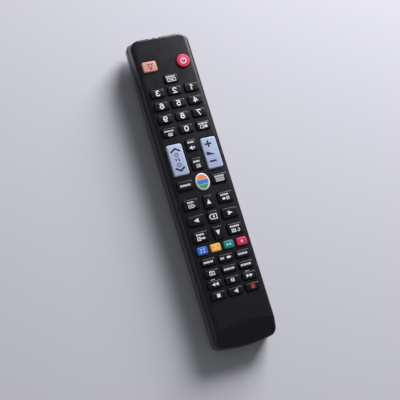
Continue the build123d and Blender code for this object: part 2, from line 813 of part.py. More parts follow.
# Infrared diodes: blunt nose, flange and two leads bent down to the board
with BuildPart() as infrared_diodes:
    for x, _ in diode_places:
        with BuildSketch(Plane.YZ.offset(x)):
            with BuildLine():
                Polyline(
                    (diode_tip, diode_height),
                    (diode_tip, diode_height + diode_nose_share * diode_diameter / 2),
                    (diode_tip - diode_nose, diode_height + diode_diameter / 2),
                    (diode_base, diode_height + diode_diameter / 2),
                    (diode_base, diode_height + diode_flange_diameter / 2),
                    (diode_base - diode_flange_thickness, diode_height + diode_flange_diameter / 2),
                    (diode_base - diode_flange_thickness, diode_height),
                    close=True,
                )
            make_face()
        revolve(axis=Axis((x, diode_tip, diode_height), (0, 1, 0)))
        for side in (-1, 1):
            with BuildSketch(Plane.YZ.offset(x + side * lead_pitch / 2)):
                with BuildLine():
                    Polyline(
                        (diode_base, diode_height),
                        (diode_base - lead_run, diode_height),
                        (diode_base - lead_run, board_top),
                    )
                trace(line_width=lead_width)
            extrude(amount=lead_width / 2, both=True)
infrared_diodes.part.label = "infrared_diodes"
export_step(infrared_diodes.part, "parts/infrared_diodes.step")

# Battery cells, lying head to tail
cell_ends = []
for name, side in (("battery_left", -1), ("battery_right", 1)):
    x = side * cell_spread / 2
    if side < 0:
        nub_end = pocket_infrared_end - contact_thickness - contact_seat_gap
    else:
        nub_end = pocket_infrared_end - pocket_length + contact_thickness + contact_seat_gap
    cell_ends.append((x, nub_end, side))
    with BuildPart() as cell:
        with BuildSketch(Plane.YZ.offset(x)):
            with BuildLine():
                Polyline(
                    (nub_end, cell_height),
                    (nub_end, cell_height + cell_nub_diameter / 2),
                    (nub_end + side * cell_nub_length, cell_height + cell_nub_diameter / 2),
                    (nub_end + side * cell_nub_length, cell_height + cell_diameter / 2),
                    (nub_end + side * cell_length, cell_height + cell_diameter / 2),
                    (nub_end + side * cell_length, cell_height),
                    close=True,
                )
            make_face()
        revolve(axis=Axis((x, nub_end, cell_height), (0, 1, 0)))
    cell.part.label = name
    export_step(cell.part, f"parts/{name}.step")

# Flat contacts behind the cells' heads
with BuildPart() as contact_plates:
    for x, nub_end, side in cell_ends:
        with BuildSketch(end_plane(nub_end - side * contact_seat_gap)):
            with Locations((x, cell_height - diode_height)):
                Rectangle(contact_width, contact_height)
        extrude(amount=side * contact_thickness)
contact_plates.part.label = "contact_plates"
export_step(contact_plates.part, "parts/contact_plates.step")

# Bent leaf contacts that press on the cells' tails
with BuildPart() as contact_leaves:
    for x, nub_end, side in cell_ends:
        tail = nub_end + side * (cell_length + contact_seat_gap)
        back = tail + side * leaf_depth
        foot = cell_height - leaf_height / 2
        with BuildSketch(Plane.YZ.offset(x)):
            with BuildLine():
                Polyline(
                    (back, foot),
                    (back, foot + leaf_height - leaf_bend),
                    (back - side * leaf_bend, foot + leaf_height),
                    (tail + side * contact_thickness, cell_height),
                    (back - side * leaf_bend, foot),
                )
            trace(line_width=contact_thickness)
        extrude(amount=leaf_width / 2, both=True)
contact_leaves.part.label = "contact_leaves"
export_step(contact_leaves.part, "parts/contact_leaves.step")

# Screws, reached with the door off, that draw the two housings together
with BuildPart() as housing_screws:
    with BuildSketch(Plane.XY.offset(slot_ceiling + counterbore_depth)):
        with Locations(*screw_places):
            Circle(screw_head_diameter / 2)
    extrude(amount=-screw_head_height)
    with BuildSketch(Plane.XY.offset(slot_ceiling + counterbore_depth)):
        with Locations(*screw_places):
            Circle(screw_shank_diameter / 2)
    extrude(amount=screw_shank_length)
housing_screws.part.label = "housing_screws"
export_step(housing_screws.part, "parts/housing_screws.step")
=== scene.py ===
"""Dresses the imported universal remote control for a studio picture.

Lengths in the classes are in millimetres, as on a drawing. MM turns them into the frame's metres.
"""

from __future__ import annotations

import itertools
import json
import logging
import math
from dataclasses import dataclass, replace
from enum import Enum
from typing import Sequence

import bpy
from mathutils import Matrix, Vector

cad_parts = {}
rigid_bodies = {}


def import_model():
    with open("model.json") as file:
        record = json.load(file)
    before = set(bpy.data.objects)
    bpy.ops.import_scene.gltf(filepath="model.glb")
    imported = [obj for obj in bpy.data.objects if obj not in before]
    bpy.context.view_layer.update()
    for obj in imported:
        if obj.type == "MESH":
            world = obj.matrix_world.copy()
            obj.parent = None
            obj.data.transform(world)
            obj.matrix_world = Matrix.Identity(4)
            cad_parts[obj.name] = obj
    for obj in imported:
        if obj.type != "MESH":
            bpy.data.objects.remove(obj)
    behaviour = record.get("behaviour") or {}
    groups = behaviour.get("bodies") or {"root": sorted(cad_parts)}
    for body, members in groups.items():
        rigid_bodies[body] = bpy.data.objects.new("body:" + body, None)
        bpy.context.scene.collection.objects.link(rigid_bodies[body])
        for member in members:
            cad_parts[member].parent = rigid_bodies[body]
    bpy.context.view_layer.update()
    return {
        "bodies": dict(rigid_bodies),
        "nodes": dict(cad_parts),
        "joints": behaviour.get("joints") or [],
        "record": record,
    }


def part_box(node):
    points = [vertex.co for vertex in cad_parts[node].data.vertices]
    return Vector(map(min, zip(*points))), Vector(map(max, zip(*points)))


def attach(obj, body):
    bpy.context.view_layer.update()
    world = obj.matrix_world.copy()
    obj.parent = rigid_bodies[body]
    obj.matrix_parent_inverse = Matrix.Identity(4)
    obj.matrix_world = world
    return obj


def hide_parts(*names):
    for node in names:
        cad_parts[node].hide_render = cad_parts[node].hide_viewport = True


MM = 0.001
ROOT_BODY = "housing"
LOG = logging.getLogger("remote")

# The sRGB curve: a straight toe up to the knee, then a power
SRGB_KNEE = 0.04045
SRGB_TOE = 12.92
SRGB_OFFSET = 0.055
SRGB_POWER = 2.4

# A spot is rubbed where the cosine between its softened and its flat normal is below the start, and
# the slope says how fast the rubbing then grows
RUB_START = 0.99
RUB_SLOPE = 4.0
EDGE_SAMPLES = 4

Point = tuple[float, float]
Ring = list[tuple[float, float, float]]


# Helpers


def linear(hex_colour: str) -> tuple[float, float, float, float]:
    """Turns an sRGB hex colour into the linear values that shaders take.

    Args:
        hex_colour: Colour such as "262530".

    Returns:
        Linear red, green, blue and an alpha of one.
    """
    channels = [int(hex_colour[i : i + 2], 16) / 255 for i in (0, 2, 4)]
    red, green, blue = (
        c / SRGB_TOE if c <= SRGB_KNEE else ((c + SRGB_OFFSET) / (1 + SRGB_OFFSET)) ** SRGB_POWER
        for c in channels
    )
    return red, green, blue, 1.0


def add_node(
    tree: bpy.types.NodeTree,
    kind: str,
    settings: dict[str, object] | None = None,
    links: dict[str | int, object] | None = None,
) -> bpy.types.Node:
    """Adds one shader node with its settings and what feeds its inputs.

    Args:
        tree: Node tree that the node goes into.
        kind: Type name of the node.
        settings: Properties of the node, by name.
        links: Inputs by name or number, each a constant, or an output given as (node, name or number).

    Returns:
        The new node.
    """
    node = tree.nodes.new(kind)
    for name, value in (settings or {}).items():
        setattr(node, name, value)
    for name, value in (links or {}).items():
        socket = node.inputs[name]
        if isinstance(value, tuple) and isinstance(value[0], bpy.types.Node):
            tree.links.new(value[0].outputs[value[1]], socket)
        else:
            socket.default_value = value
    return node


def per_mm(size: float) -> float:
    """Texture scale that gives features of a real size.

    Args:
        size: Feature size in millimetres.

    Returns:
        Scale for a texture on object coordinates in metres.
    """
    return 1 / (size * MM)


def box_mm(node: str) -> tuple[Vector, Vector]:
    """Box of a CAD node.

    Args:
        node: Name of the node.

    Returns:
        Its lowest and highest corner in millimetres.
    """
    low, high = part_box(node)
    return low / MM, high / MM


# Finishes


# Numbers of a Mix node's colour sockets, whose names its other kinds of socket share
MIX_FIRST, MIX_SECOND, MIX_RESULT = 6, 7, 2

# A node and the name or number of one of its outputs
Output = tuple[bpy.types.Node, "str | int"]


@dataclass(frozen=True)
class Ground:
    """What every part of a material starts from: object coordinates, softened normal and rubbed edges."""

    tree: bpy.types.NodeTree
    place: Output
    normal: Output
    rubbed: Output


@dataclass(frozen=True)
class Finish:
    """A material and how its surface is made. Grain, clouding and softened edges are in real millimetres.

    Rubbed edges come out smoother and paler than the flats, which is what years of handling do. Real
    grain of 0.05 to 0.1 mm is too fine to show, so each grain is drawn a few times coarser than that.
    """

    name: str
    colour: str
    roughness: float = 0.45
    ior: float = 1.5
    grain: float = 0.35
    grain_depth: float = 0.006
    grain_detail: float = 2.0
    cloud: float = 18.0
    cloud_share: float = 0.08
    cloud_detail: float = 3.0
    smear_share: float = 0.06
    smear_detail: float = 5.0
    edge_round: float = 0.15
    edge_polish: float = 0.1
    edge_fade: float = 0.3

    def build(self) -> bpy.types.Material:
        """Makes the material.

        Returns:
            The new material.
        """
        material = bpy.data.materials.new(self.name)
        material.use_nodes = True
        tree = material.node_tree
        tree.nodes.clear()
        place = add_node(tree, "ShaderNodeTexCoord")
        edge = add_node(
            tree, "ShaderNodeBevel", {"samples": EDGE_SAMPLES}, {"Radius": self.edge_round * MM}
        )
        flat = add_node(tree, "ShaderNodeNewGeometry")
        facing = add_node(
            tree, "ShaderNodeVectorMath", {"operation": "DOT_PRODUCT"}, {0: (edge, 0), 1: (flat, "Normal")}
        )
        rubbed = add_node(
            tree,
            "ShaderNodeMath",
            {"operation": "MULTIPLY_ADD", "use_clamp": True},
            {0: (facing, "Value"), 1: -RUB_SLOPE, 2: RUB_SLOPE * RUB_START},
        )
        shader = self.shade(Ground(tree, (place, "Object"), (edge, 0), (rubbed, 0)))
        add_node(tree, "ShaderNodeOutputMaterial", links={"Surface": (shader, 0)})
        return material

    def drift(
        self, ground: Ground, place: Output, size: float, detail: float, middle: float, share: float
    ) -> Output:
        """A number that drifts in soft patches.

        Args:
            ground: Where the material starts.
            place: The output that places the patches.
            size: Size of the patches in millimetres.
            detail: How broken up their edges are.
            middle: The number's middle value.
            share: How far it drifts either way.

        Returns:
            The output that carries the number.
        """
        patches = add_node(
            ground.tree,
            "ShaderNodeTexNoise",
            links={"Vector": place, "Scale": per_mm(size), "Detail": detail},
        )
        number = add_node(
            ground.tree,
            "ShaderNodeMath",
            {"operation": "MULTIPLY_ADD"},
            {0: (patches, 0), 1: 2 * share, 2: middle - share},
        )
        return number, 0

    def worn(self, ground: Ground, number: Output, change: float) -> Output:
        """The same number, changed where edges are rubbed.

        Args:
            ground: Where the material starts.
            number: The output that carries the number.
            change: What a fully rubbed edge adds to it.

        Returns:
            The output that carries the changed number.
        """
        changed = add_node(
            ground.tree,
            "ShaderNodeMath",
            {"operation": "MULTIPLY_ADD"},
            {0: ground.rubbed, 1: change, 2: number},
        )
        return changed, 0

    def tint(self, ground: Ground) -> Output:
        """Base colour, faintly clouded, because pigment never spreads evenly.

        Args:
            ground: Where the material starts.

        Returns:
            The output that carries the colour.
        """
        clouded = self.drift(ground, ground.place, self.cloud, self.cloud_detail, 1.0, self.cloud_share)
        value = self.worn(ground, clouded, self.edge_fade)
        tinted = add_node(
            ground.tree, "ShaderNodeHueSaturation", links={"Value": value, "Color": linear(self.colour)}
        )
        return tinted, "Color"

    def gloss(self, ground: Ground) -> Output:
        """Roughness with smears from hands, and smoother edges.

        Args:
            ground: Where the material starts.

        Returns:
            The output that carries the roughness.
        """
        size, detail = self.cloud / 2, self.smear_detail
        smeared = self.drift(ground, ground.place, size, detail, self.roughness, self.smear_share)
        return self.worn(ground, smeared, -self.edge_polish)

    def relief(self, ground: Ground) -> Output:
        """Fine grain over edges that a mould or a cutter leaves slightly round.

        Args:
            ground: Where the material starts.

        Returns:
            The output that carries the normal.
        """
        grain = add_node(
            ground.tree,
            "ShaderNodeTexNoise",
            links={"Vector": ground.place, "Scale": per_mm(self.grain), "Detail": self.grain_detail},
        )
        bump = add_node(
            ground.tree,
            "ShaderNodeBump",
            links={"Distance": self.grain_depth * MM, "Height": (grain, 0), "Normal": ground.normal},
        )
        return bump, "Normal"

    def shade(self, ground: Ground) -> bpy.types.Node:
        """Surface shader, with what this kind of material adds to a plain, opaque one.

        Args:
            ground: Where the material starts.

        Returns:
            The surface shader.
        """
        return add_node(
            ground.tree,
            "ShaderNodeBsdfPrincipled",
            links={
                "Base Color": self.tint(ground),
                "Roughness": self.gloss(ground),
                "Normal": self.relief(ground),
                "IOR": self.ior,
                **self.extras(),
            },
        )

    def extras(self) -> dict[str, object]:
        """Shader constants that this kind of material adds, by socket."""
        return {}


@dataclass(frozen=True)
class MouldedAbs(Finish):
    """Injection-moulded ABS with a spark-eroded grain, which spreads highlights into broad satin ones.

    The real grain is about 0.1 mm. It is drawn at 0.35 mm, because finer grain doesn't show.
    """

    ior: float = 1.53


@dataclass(frozen=True)
class SiliconeRubber(Finish):
    """Compression-moulded silicone with a soft coat: dull, with a faint pale bloom at grazing angles."""

    ior: float = 1.43
    bloom_share: float = 0.05
    bloom_roughness: float = 0.5

    def extras(self) -> dict[str, object]:
        """The bloom."""
        return {"Sheen Weight": self.bloom_share, "Sheen Roughness": self.bloom_roughness}


@dataclass(frozen=True)
class TintedCap(Finish):
    """Pigmented silicone under a thin clear coat: light spreads under its surface and softens its edges."""

    ior: float = 1.43
    spread: float = 0.5
    spread_ratio: tuple[float, float, float] = (1.0, 0.8, 0.8)
    spread_share: float = 0.25
    coat_share: float = 0.12
    coat_roughness: float = 0.3

    def extras(self) -> dict[str, object]:
        """Spread light and the coat.

        Returns:
            The constants, by socket.
        """
        return {
            "Subsurface Weight": self.spread_share,
            "Subsurface Radius": self.spread_ratio,
            "Subsurface Scale": self.spread * MM,
            "Coat Weight": self.coat_share,
            "Coat Roughness": self.coat_roughness,
        }


@dataclass(frozen=True)
class PadPrint(Finish):
    """Pad-printed ink, cured flat: an even matt colour with a slightly rough skin, crisp at any angle."""

    roughness: float = 0.6
    grain: float = 0.12
    grain_depth: float = 0.002
    cloud_share: float = 0.03
    edge_round: float = 0.02
    edge_polish: float = 0.0
    edge_fade: float = 0.0


@dataclass(frozen=True)
class DrawnMetal(Finish):
    """Rolled, drawn or plated metal: fine streaks along its length stretch the highlights.

    Real streaks are about 0.1 mm wide. They are drawn at 0.6 mm, because finer ones don't show.
    """

    streak: float = 0.6
    streak_stretch: float = 12.0
    streak_share: float = 0.08
    streak_detail: float = 4.0
    edge_fade: float = 0.1

    def gloss(self, ground: Ground) -> Output:
        """Roughness in streaks along Y.

        Args:
            ground: Where the material starts.

        Returns:
            The output that carries the roughness.
        """
        stretch = add_node(
            ground.tree,
            "ShaderNodeMapping",
            links={"Vector": ground.place, "Scale": (1.0, 1 / self.streak_stretch, 1.0)},
        )
        size, detail = self.streak, self.streak_detail
        return self.drift(ground, (stretch, 0), size, detail, self.roughness, self.streak_share)

    def extras(self) -> dict[str, object]:
        """The metal itself."""
        return {"Metallic": 1.0}


@dataclass(frozen=True)
class SolderResist(Finish):
    """Etched copper under green lacquer: the tracks show through it as paler lines.

    Real tracks lie about 0.5 mm apart. They are drawn 1.6 mm apart, so that single ones show.
    """

    track: str = "2f7d4a"
    track_pitch: float = 1.6
    track_share: float = 0.1
    track_run: float = 5.0
    track_shift: float = 0.37
    track_repeat: int = 3

    def tint(self, ground: Ground) -> Output:
        """Lacquer colour with its tracks.

        Args:
            ground: Where the material starts.

        Returns:
            The output that carries the colour.
        """
        tracks = add_node(
            ground.tree,
            "ShaderNodeTexBrick",
            {"offset": self.track_shift, "offset_frequency": self.track_repeat},
            {
                "Vector": ground.place,
                "Color1": linear(self.colour),
                "Color2": linear(self.colour),
                "Mortar": linear(self.track),
                "Scale": per_mm(self.track_pitch),
                "Mortar Size": self.track_share,
                "Brick Width": self.track_run,
                "Row Height": 1.0,
            },
        )
        return tracks, 0


@dataclass(frozen=True)
class CastEpoxy(Finish):
    """Clear cast epoxy: dyed right through, with a wet-looking skin."""

    ior: float = 1.55
    clear_share: float = 0.8

    def extras(self) -> dict[str, object]:
        """The light that passes through."""
        return {"Transmission Weight": self.clear_share}


@dataclass(frozen=True)
class ShrinkSleeve(Finish):
    """Printed shrink film on a cell: a dark body with one warm band, under a tight gloss.

    The band's ends are places along Y in millimetres.
    """

    band: str = "c9823a"
    band_low: float = -66.0
    band_high: float = -60.0

    def tint(self, ground: Ground) -> Output:
        """Film colour with its band.

        Args:
            ground: Where the material starts.

        Returns:
            The output that carries the colour.
        """
        along = add_node(ground.tree, "ShaderNodeSeparateXYZ", links={0: ground.place})
        middle = (self.band_low + self.band_high) / 2 * MM
        reach = (self.band_high - self.band_low) / 2 * MM
        inside = add_node(
            ground.tree, "ShaderNodeMath", {"operation": "COMPARE"}, {0: (along, 1), 1: middle, 2: reach}
        )
        mixed = add_node(
            ground.tree,
            "ShaderNodeMix",
            {"data_type": "RGBA"},
            {0: (inside, 0), MIX_FIRST: linear(self.colour), MIX_SECOND: linear(self.band)},
        )
        return mixed, MIX_RESULT


@dataclass(frozen=True)
class Palette:
    """Every finish on the object, matched to the photograph or typical of its material."""

    housing: Finish = MouldedAbs("moulded_abs_charcoal", "121218", roughness=0.27)
    # Lighter grey for the rear moulding and the door: partly their own slate plastic, partly painted light
    # that stands in for the light catching the rear's side strip
    slate_and_painted_light: Finish = MouldedAbs("moulded_abs_slate_and_painted_light", "595a5e", roughness=0.42)
    rubber: Finish = SiliconeRubber(
        "silicone_black", "060608", roughness=0.33, grain=0.25, grain_depth=0.004, edge_polish=0.0
    )
    rocker: Finish = TintedCap("silicone_lavender_blue", "b3c0dc", roughness=0.45)
    peach: Finish = TintedCap("silicone_peach", "dda189", roughness=0.45)
    crimson: Finish = TintedCap("silicone_crimson", "d4264f", roughness=0.45)
    white: Finish = TintedCap("silicone_white", "dcdfe6", roughness=0.35)
    blue: Finish = TintedCap("silicone_blue", "2a66c6", roughness=0.45)
    amber: Finish = TintedCap("silicone_amber", "f6b04c", roughness=0.45)
    green: Finish = TintedCap("silicone_teal_green", "17807a", roughness=0.45)
    red: Finish = TintedCap("silicone_red", "d02a56", roughness=0.45)
    white_ink: Finish = PadPrint("print_white", "e6e7ec")
    navy_ink: Finish = PadPrint("print_navy", "060b1a", roughness=0.35)
    grey_ink: Finish = PadPrint("print_blue_grey", "6d7494")
    brown_ink: Finish = PadPrint("print_brown", "5a1f0e", roughness=0.4)
    red_ink: Finish = PadPrint("print_red", "a32a2a")
    orange_ink: Finish = PadPrint("print_orange", "f08f1e")
    blue_ink: Finish = PadPrint("print_blue", "2274cf")
    green_ink: Finish = PadPrint("print_leaf_green", "2f9a55")
    pale_blue_ink: Finish = PadPrint("print_pale_blue", "b4ccef")
    pale_yellow_ink: Finish = PadPrint("print_pale_yellow", "fbe6ae")
    pale_green_ink: Finish = PadPrint("print_pale_green", "a9dccd")
    pale_pink_ink: Finish = PadPrint("print_pale_pink", "f4c8d4")
    sheet: Finish = SiliconeRubber("silicone_sheet_grey", "2d2e33", roughness=0.6)
    board: Finish = SolderResist("glass_epoxy_green_resist", "17512c", roughness=0.3, grain=1.2)
    carbon: Finish = PadPrint("print_carbon", "161616", roughness=0.7)
    package: Finish = MouldedAbs("moulded_epoxy_black", "17171a", roughness=0.55)
    glow: Finish = CastEpoxy("cast_resin_pale", "e4e2c8", roughness=0.15, clear_share=0.3)
    infrared: Finish = CastEpoxy("cast_epoxy_smoke_violet", "3a2f55", roughness=0.08)
    tinned: Finish = DrawnMetal("tinned_steel", "c9ccd0", roughness=0.28)
    nickel: Finish = DrawnMetal("nickel_plated_strip", "c8c4ba", roughness=0.25)
    bronze: Finish = DrawnMetal("bent_phosphor_bronze", "c59a62", roughness=0.3)
    zinc: Finish = DrawnMetal("zinc_plated_steel", "b3b8bd", roughness=0.35)
    can: Finish = DrawnMetal("drawn_steel_can", "b9bdc2", roughness=0.22)
    sleeve: Finish = ShrinkSleeve("shrink_film_dark", "22262e", roughness=0.25)


PALETTE = Palette()


class Paintbox:
    """Makes each finish once and hands its material out."""

    def __init__(self) -> None:
        """Starts with nothing made."""
        self._made: dict[str, bpy.types.Material] = {}

    def material(self, finish: Finish) -> bpy.types.Material:
        """Material of a finish.

        Args:
            finish: The finish that is wanted.

        Returns:
            Its material, made on first use.
        """
        if finish.name not in self._made:
            self._made[finish.name] = finish.build()
        return self._made[finish.name]


PAINT = Paintbox()


# Outlines in millimetres, all running anticlockwise


def unit(start: Point, end: Point) -> Point:
    """Direction from one point to another.

    Args:
        start: First point.
        end: Second point.

    Returns:
        A vector of length one.
    """
    length = math.hypot(end[0] - start[0], end[1] - start[1])
    return (end[0] - start[0]) / length, (end[1] - start[1]) / length


def rounded(corners: Sequence[Point], radius: float, steps: int = 6) -> list[Point]:
    """Rounds every corner of a convex outline.

    Args:
        corners: Corners, anticlockwise.
        radius: Radius of the rounding.
        steps: Number of chords in each rounding.

    Returns:
        The rounded outline.
    """
    outline = []
    for i, corner in enumerate(corners):
        arrive = unit(corners[i - 1], corner)
        leave = unit(corner, corners[(i + 1) % len(corners)])
        ahead = arrive[0] * leave[0] + arrive[1] * leave[1]
        turn = math.atan2(arrive[0] * leave[1] - arrive[1] * leave[0], ahead)
        reach = radius * math.tan(turn / 2)
        centre = (
            corner[0] - arrive[0] * reach - arrive[1] * radius,
            corner[1] - arrive[1] * reach + arrive[0] * radius,
        )
        for step in range(steps + 1):
            angle = math.atan2(-arrive[0], arrive[1]) + turn * step / steps
            outline.append((centre[0] + radius * math.cos(angle), centre[1] + radius * math.sin(angle)))
    return outline


def inset(corners: Sequence[Point], distance: float) -> list[Point]:
    """Moves every side of a convex outline inwards.

    Args:
        corners: Corners, anticlockwise.
        distance: How far the sides move.

    Returns:
        The smaller outline.
    """
    moved = []
    for i, corner in enumerate(corners):
        arrive = unit(corners[i - 1], corner)
        leave = unit(corner, corners[(i + 1) % len(corners)])
        share = distance / (1 + arrive[0] * leave[0] + arrive[1] * leave[1])
        moved.append((corner[0] - (arrive[1] + leave[1]) * share, corner[1] + (arrive[0] + leave[0]) * share))
    return moved


def box_corners(width: float, depth: float) -> list[Point]:
    """Corners of a rectangle round the origin.

    Args:
        width: Size along X.
        depth: Size along Y.

    Returns:
        Its four corners.
    """
    x, y = width / 2, depth / 2
    return [(-x, -y), (x, -y), (x, y), (-x, y)]


def arc(centre: Point, radii: Point, start: float, end: float, steps: int = 12) -> tuple[Point, ...]:
    """Points along an elliptical arc.

    Args:
        centre: Middle of the ellipse.
        radii: Half-widths along X and Y.
        start: First angle in degrees.
        end: Last angle in degrees.
        steps: Number of chords.

    Returns:
        The points from start to end.
    """
    angles = [math.radians(start + (end - start) * i / steps) for i in range(steps + 1)]
    return tuple((centre[0] + radii[0] * math.cos(a), centre[1] + radii[1] * math.sin(a)) for a in angles)


# Printed marks


MITRE_LIMIT = 1.8
TOUCHING = 1e-6
ROUND_STEPS = 24
CORNER_STEPS = 3
LETTER_WIDTHS = (0.85, 0.5, 0.7)
LETTER_GAP = 0.32


@dataclass(frozen=True)
class Line:
    """A printed stroke, mitred at its corners, with round ends unless it closes on itself."""

    points: tuple[Point, ...]
    width: float
    end_steps: int = 6

    def cells(self) -> list[list[Point]]:
        """Adjoining flat cells that fill the stroke.

        Returns:
            One cell for each run and each round end.
        """
        closed = math.dist(self.points[0], self.points[-1]) < TOUCHING
        line = list(self.points[:-1] if closed else self.points)
        count = len(line)
        runs = [(i, (i + 1) % count) for i in range(count if closed else count - 1)]
        headings = [unit(line[i], line[j]) for i, j in runs]
        right, left = [], []
        for i, (x, y) in enumerate(line):
            arrive = headings[i - 1] if closed or i else headings[0]
            leave = headings[i] if i < len(headings) else headings[-1]
            across = (-arrive[1] - leave[1], arrive[0] + leave[0])
            size = math.hypot(*across)
            reach = self.width / 2 * min(2 / size, MITRE_LIMIT) / size
            left.append((x + across[0] * reach, y + across[1] * reach))
            right.append((x - across[0] * reach, y - across[1] * reach))
        cells = [[right[i], right[j], left[j], left[i]] for i, j in runs]
        if not closed:
            cells.append([right[-1], *self.round_end(line[-2], line[-1]), left[-1]])
            cells.append([left[0], *self.round_end(line[1], line[0]), right[0]])
        return cells

    def round_end(self, inner: Point, tip: Point) -> tuple[Point, ...]:
        """Points round one end of the stroke, from the point before it, between its two sides."""
        heading = math.degrees(math.atan2(tip[1] - inner[1], tip[0] - inner[0]))
        return arc(tip, (self.width / 2, self.width / 2), heading - 90, heading + 90, self.end_steps)[1:-1]

    def shifted(self, x: float, y: float) -> Line:
        """The same stroke, shifted along X and Y."""
        return Line(tuple((px + x, py + y) for px, py in self.points), self.width, self.end_steps)


@dataclass(frozen=True)
class Area:
    """A printed filled shape."""

    points: tuple[Point, ...]

    def cells(self) -> list[list[Point]]:
        """The shape as a single cell."""
        return [list(self.points)]

    def shifted(self, x: float, y: float) -> Area:
        """The same shape, shifted along X and Y."""
        return Area(tuple((px + x, py + y) for px, py in self.points))


Mark = Line | Area


def dot(x: float, y: float, radius: float) -> Area:
    """A filled disc.

    Args:
        x: Middle along X.
        y: Middle along Y.
        radius: Radius of the disc.

    Returns:
        The mark.
    """
    return Area(arc((x, y), (radius, radius), 0, 360, ROUND_STEPS)[:-1])


def bar(x: float, y: float, width: float, height: float, corner: float = 0.2) -> Area:
    """A filled rectangle with round corners.

    Args:
        x: Middle along X.
        y: Middle along Y.
        width: Size along X.
        height: Size along Y.
        corner: Corner radius.

    Returns:
        The mark.
    """
    outline = box_corners(width, height)
    return Area(tuple((px + x, py + y) for px, py in rounded(outline, corner, CORNER_STEPS)))


def frame_line(x: float, y: float, width: float, height: float, stroke: float = 0.45) -> Line:
    """A rectangle drawn as a line.

    Args:
        x: Middle along X.
        y: Middle along Y.
        width: Size along X.
        height: Size along Y.
        stroke: Width of the line.

    Returns:
        The mark.
    """
    corners = [(px + x, py + y) for px, py in box_corners(width, height)]
    return Line((*corners, corners[0]), stroke)


def ring(x: float, y: float, radius: float, stroke: float = 0.45, start: float = 0, end: float = 360) -> Line:
    """A circle, or part of one, drawn as a line.

    Args:
        x: Middle along X.
        y: Middle along Y.
        radius: Radius of the line's middle.
        stroke: Width of the line.
        start: First angle in degrees.
        end: Last angle in degrees.

    Returns:
        The mark.
    """
    return Line(arc((x, y), (radius, radius), start, end, ROUND_STEPS), stroke)


def wedge(x: float, y: float, length: float, breadth: float, heading: float) -> Area:
    """A filled triangle that points one way.

    Args:
        x: Middle along X.
        y: Middle along Y.
        length: Size from base to tip.
        breadth: Size of the base.
        heading: Direction of the tip in degrees.

    Returns:
        The mark.
    """
    ahead = math.radians(heading)
    along = (math.cos(ahead), math.sin(ahead))
    corners = [(length / 2, 0), (-length / 2, breadth / 2), (-length / 2, -breadth / 2)]
    return Area(tuple((x + a * along[0] - b * along[1], y + a * along[1] + b * along[0]) for a, b in corners))


def label(x: float, y: float, width: float, height: float) -> tuple[Mark, ...]:
    """A row of letter-sized blocks, the plain caption of a key.

    Args:
        x: Middle of the row along X.
        y: Middle of the row along Y.
        width: Length that the row fills.
        height: Height of the blocks.

    Returns:
        The marks.
    """
    marks = []
    left, right = x - width / 2, x + width / 2
    for block in itertools.cycle(LETTER_WIDTHS):
        if left + block > right:
            return tuple(marks)
        marks.append(bar(left + block / 2, y, block, height))
        left += block + LETTER_GAP


def spokes(x: float, y: float, inner: float, outer: float, stroke: float, *angles: float) -> tuple[Mark, ...]:
    """Short strokes that stand out from a middle.

    Args:
        x: Middle along X.
        y: Middle along Y.
        inner: Distance of their inner ends.
        outer: Distance of their outer ends.
        stroke: Width of each stroke.
        *angles: Their directions in degrees.

    Returns:
        The marks.
    """
    marks = []
    for angle in angles:
        ends = [arc((x, y), (reach, reach), angle, angle, 1)[0] for reach in (inner, outer)]
        marks.append(Line(tuple(ends), stroke))
    return tuple(marks)


# Strokes of each numeral as shares of its width and height, about its middle
DIGIT_SHARES: dict[int, tuple[tuple[Point, ...], ...]] = {
    0: (arc((0, 0), (0.32, 0.5), 0, 360, ROUND_STEPS),),
    1: (((-0.2, 0.28), (0.06, 0.5), (0.06, -0.5)),),
    2: ((*arc((0, 0.2), (0.3, 0.3), 165, -35), (-0.3, -0.5), (0.33, -0.5)),),
    3: (arc((0, 0.25), (0.27, 0.25), 150, -90), arc((0, -0.24), (0.31, 0.26), 90, -150)),
    4: (((0.13, -0.5), (0.13, 0.5)), ((0.13, 0.5), (-0.34, -0.22), (0.36, -0.22))),
    5: (((0.28, 0.5), (-0.2, 0.5), (-0.24, 0.06)), arc((0, -0.18), (0.31, 0.32), 142, -148)),
    6: (arc((0, -0.2), (0.31, 0.3), 0, 360, ROUND_STEPS), arc((0.03, -0.14), (0.34, 0.64), 180, 58)),
    7: (((-0.31, 0.5), (0.32, 0.5), (-0.08, -0.5)),),
    8: (
        arc((0, 0.26), (0.25, 0.24), 0, 360, ROUND_STEPS),
        arc((0, -0.23), (0.31, 0.27), 0, 360, ROUND_STEPS),
    ),
    9: (arc((0, 0.2), (0.31, 0.3), 0, 360, ROUND_STEPS), arc((-0.03, 0.14), (0.34, 0.64), 0, -122)),
}


def digit(value: int, width: float = 4.1, height: float = 3.6, stroke: float = 0.85) -> tuple[Mark, ...]:
    """A numeral, written backwards as the photograph shows it.

    Args:
        value: The number, from 0 to 9.
        width: What the shares along X are multiplied by.
        height: Height of the numeral between the middles of its strokes.
        stroke: Width of its strokes.

    Returns:
        Its marks.
    """
    lines = [tuple((-x * width, y * height) for x, y in share) for share in DIGIT_SHARES[value]]
    return tuple(Line(line, stroke) for line in lines)


def moved(marks: Sequence[Mark], x: float, y: float) -> tuple[Mark, ...]:
    """Shifts marks to another place.

    Args:
        marks: The marks.
        x: Shift along X.
        y: Shift along Y.

    Returns:
        The shifted marks.
    """
    return tuple(mark.shifted(x, y) for mark in marks)


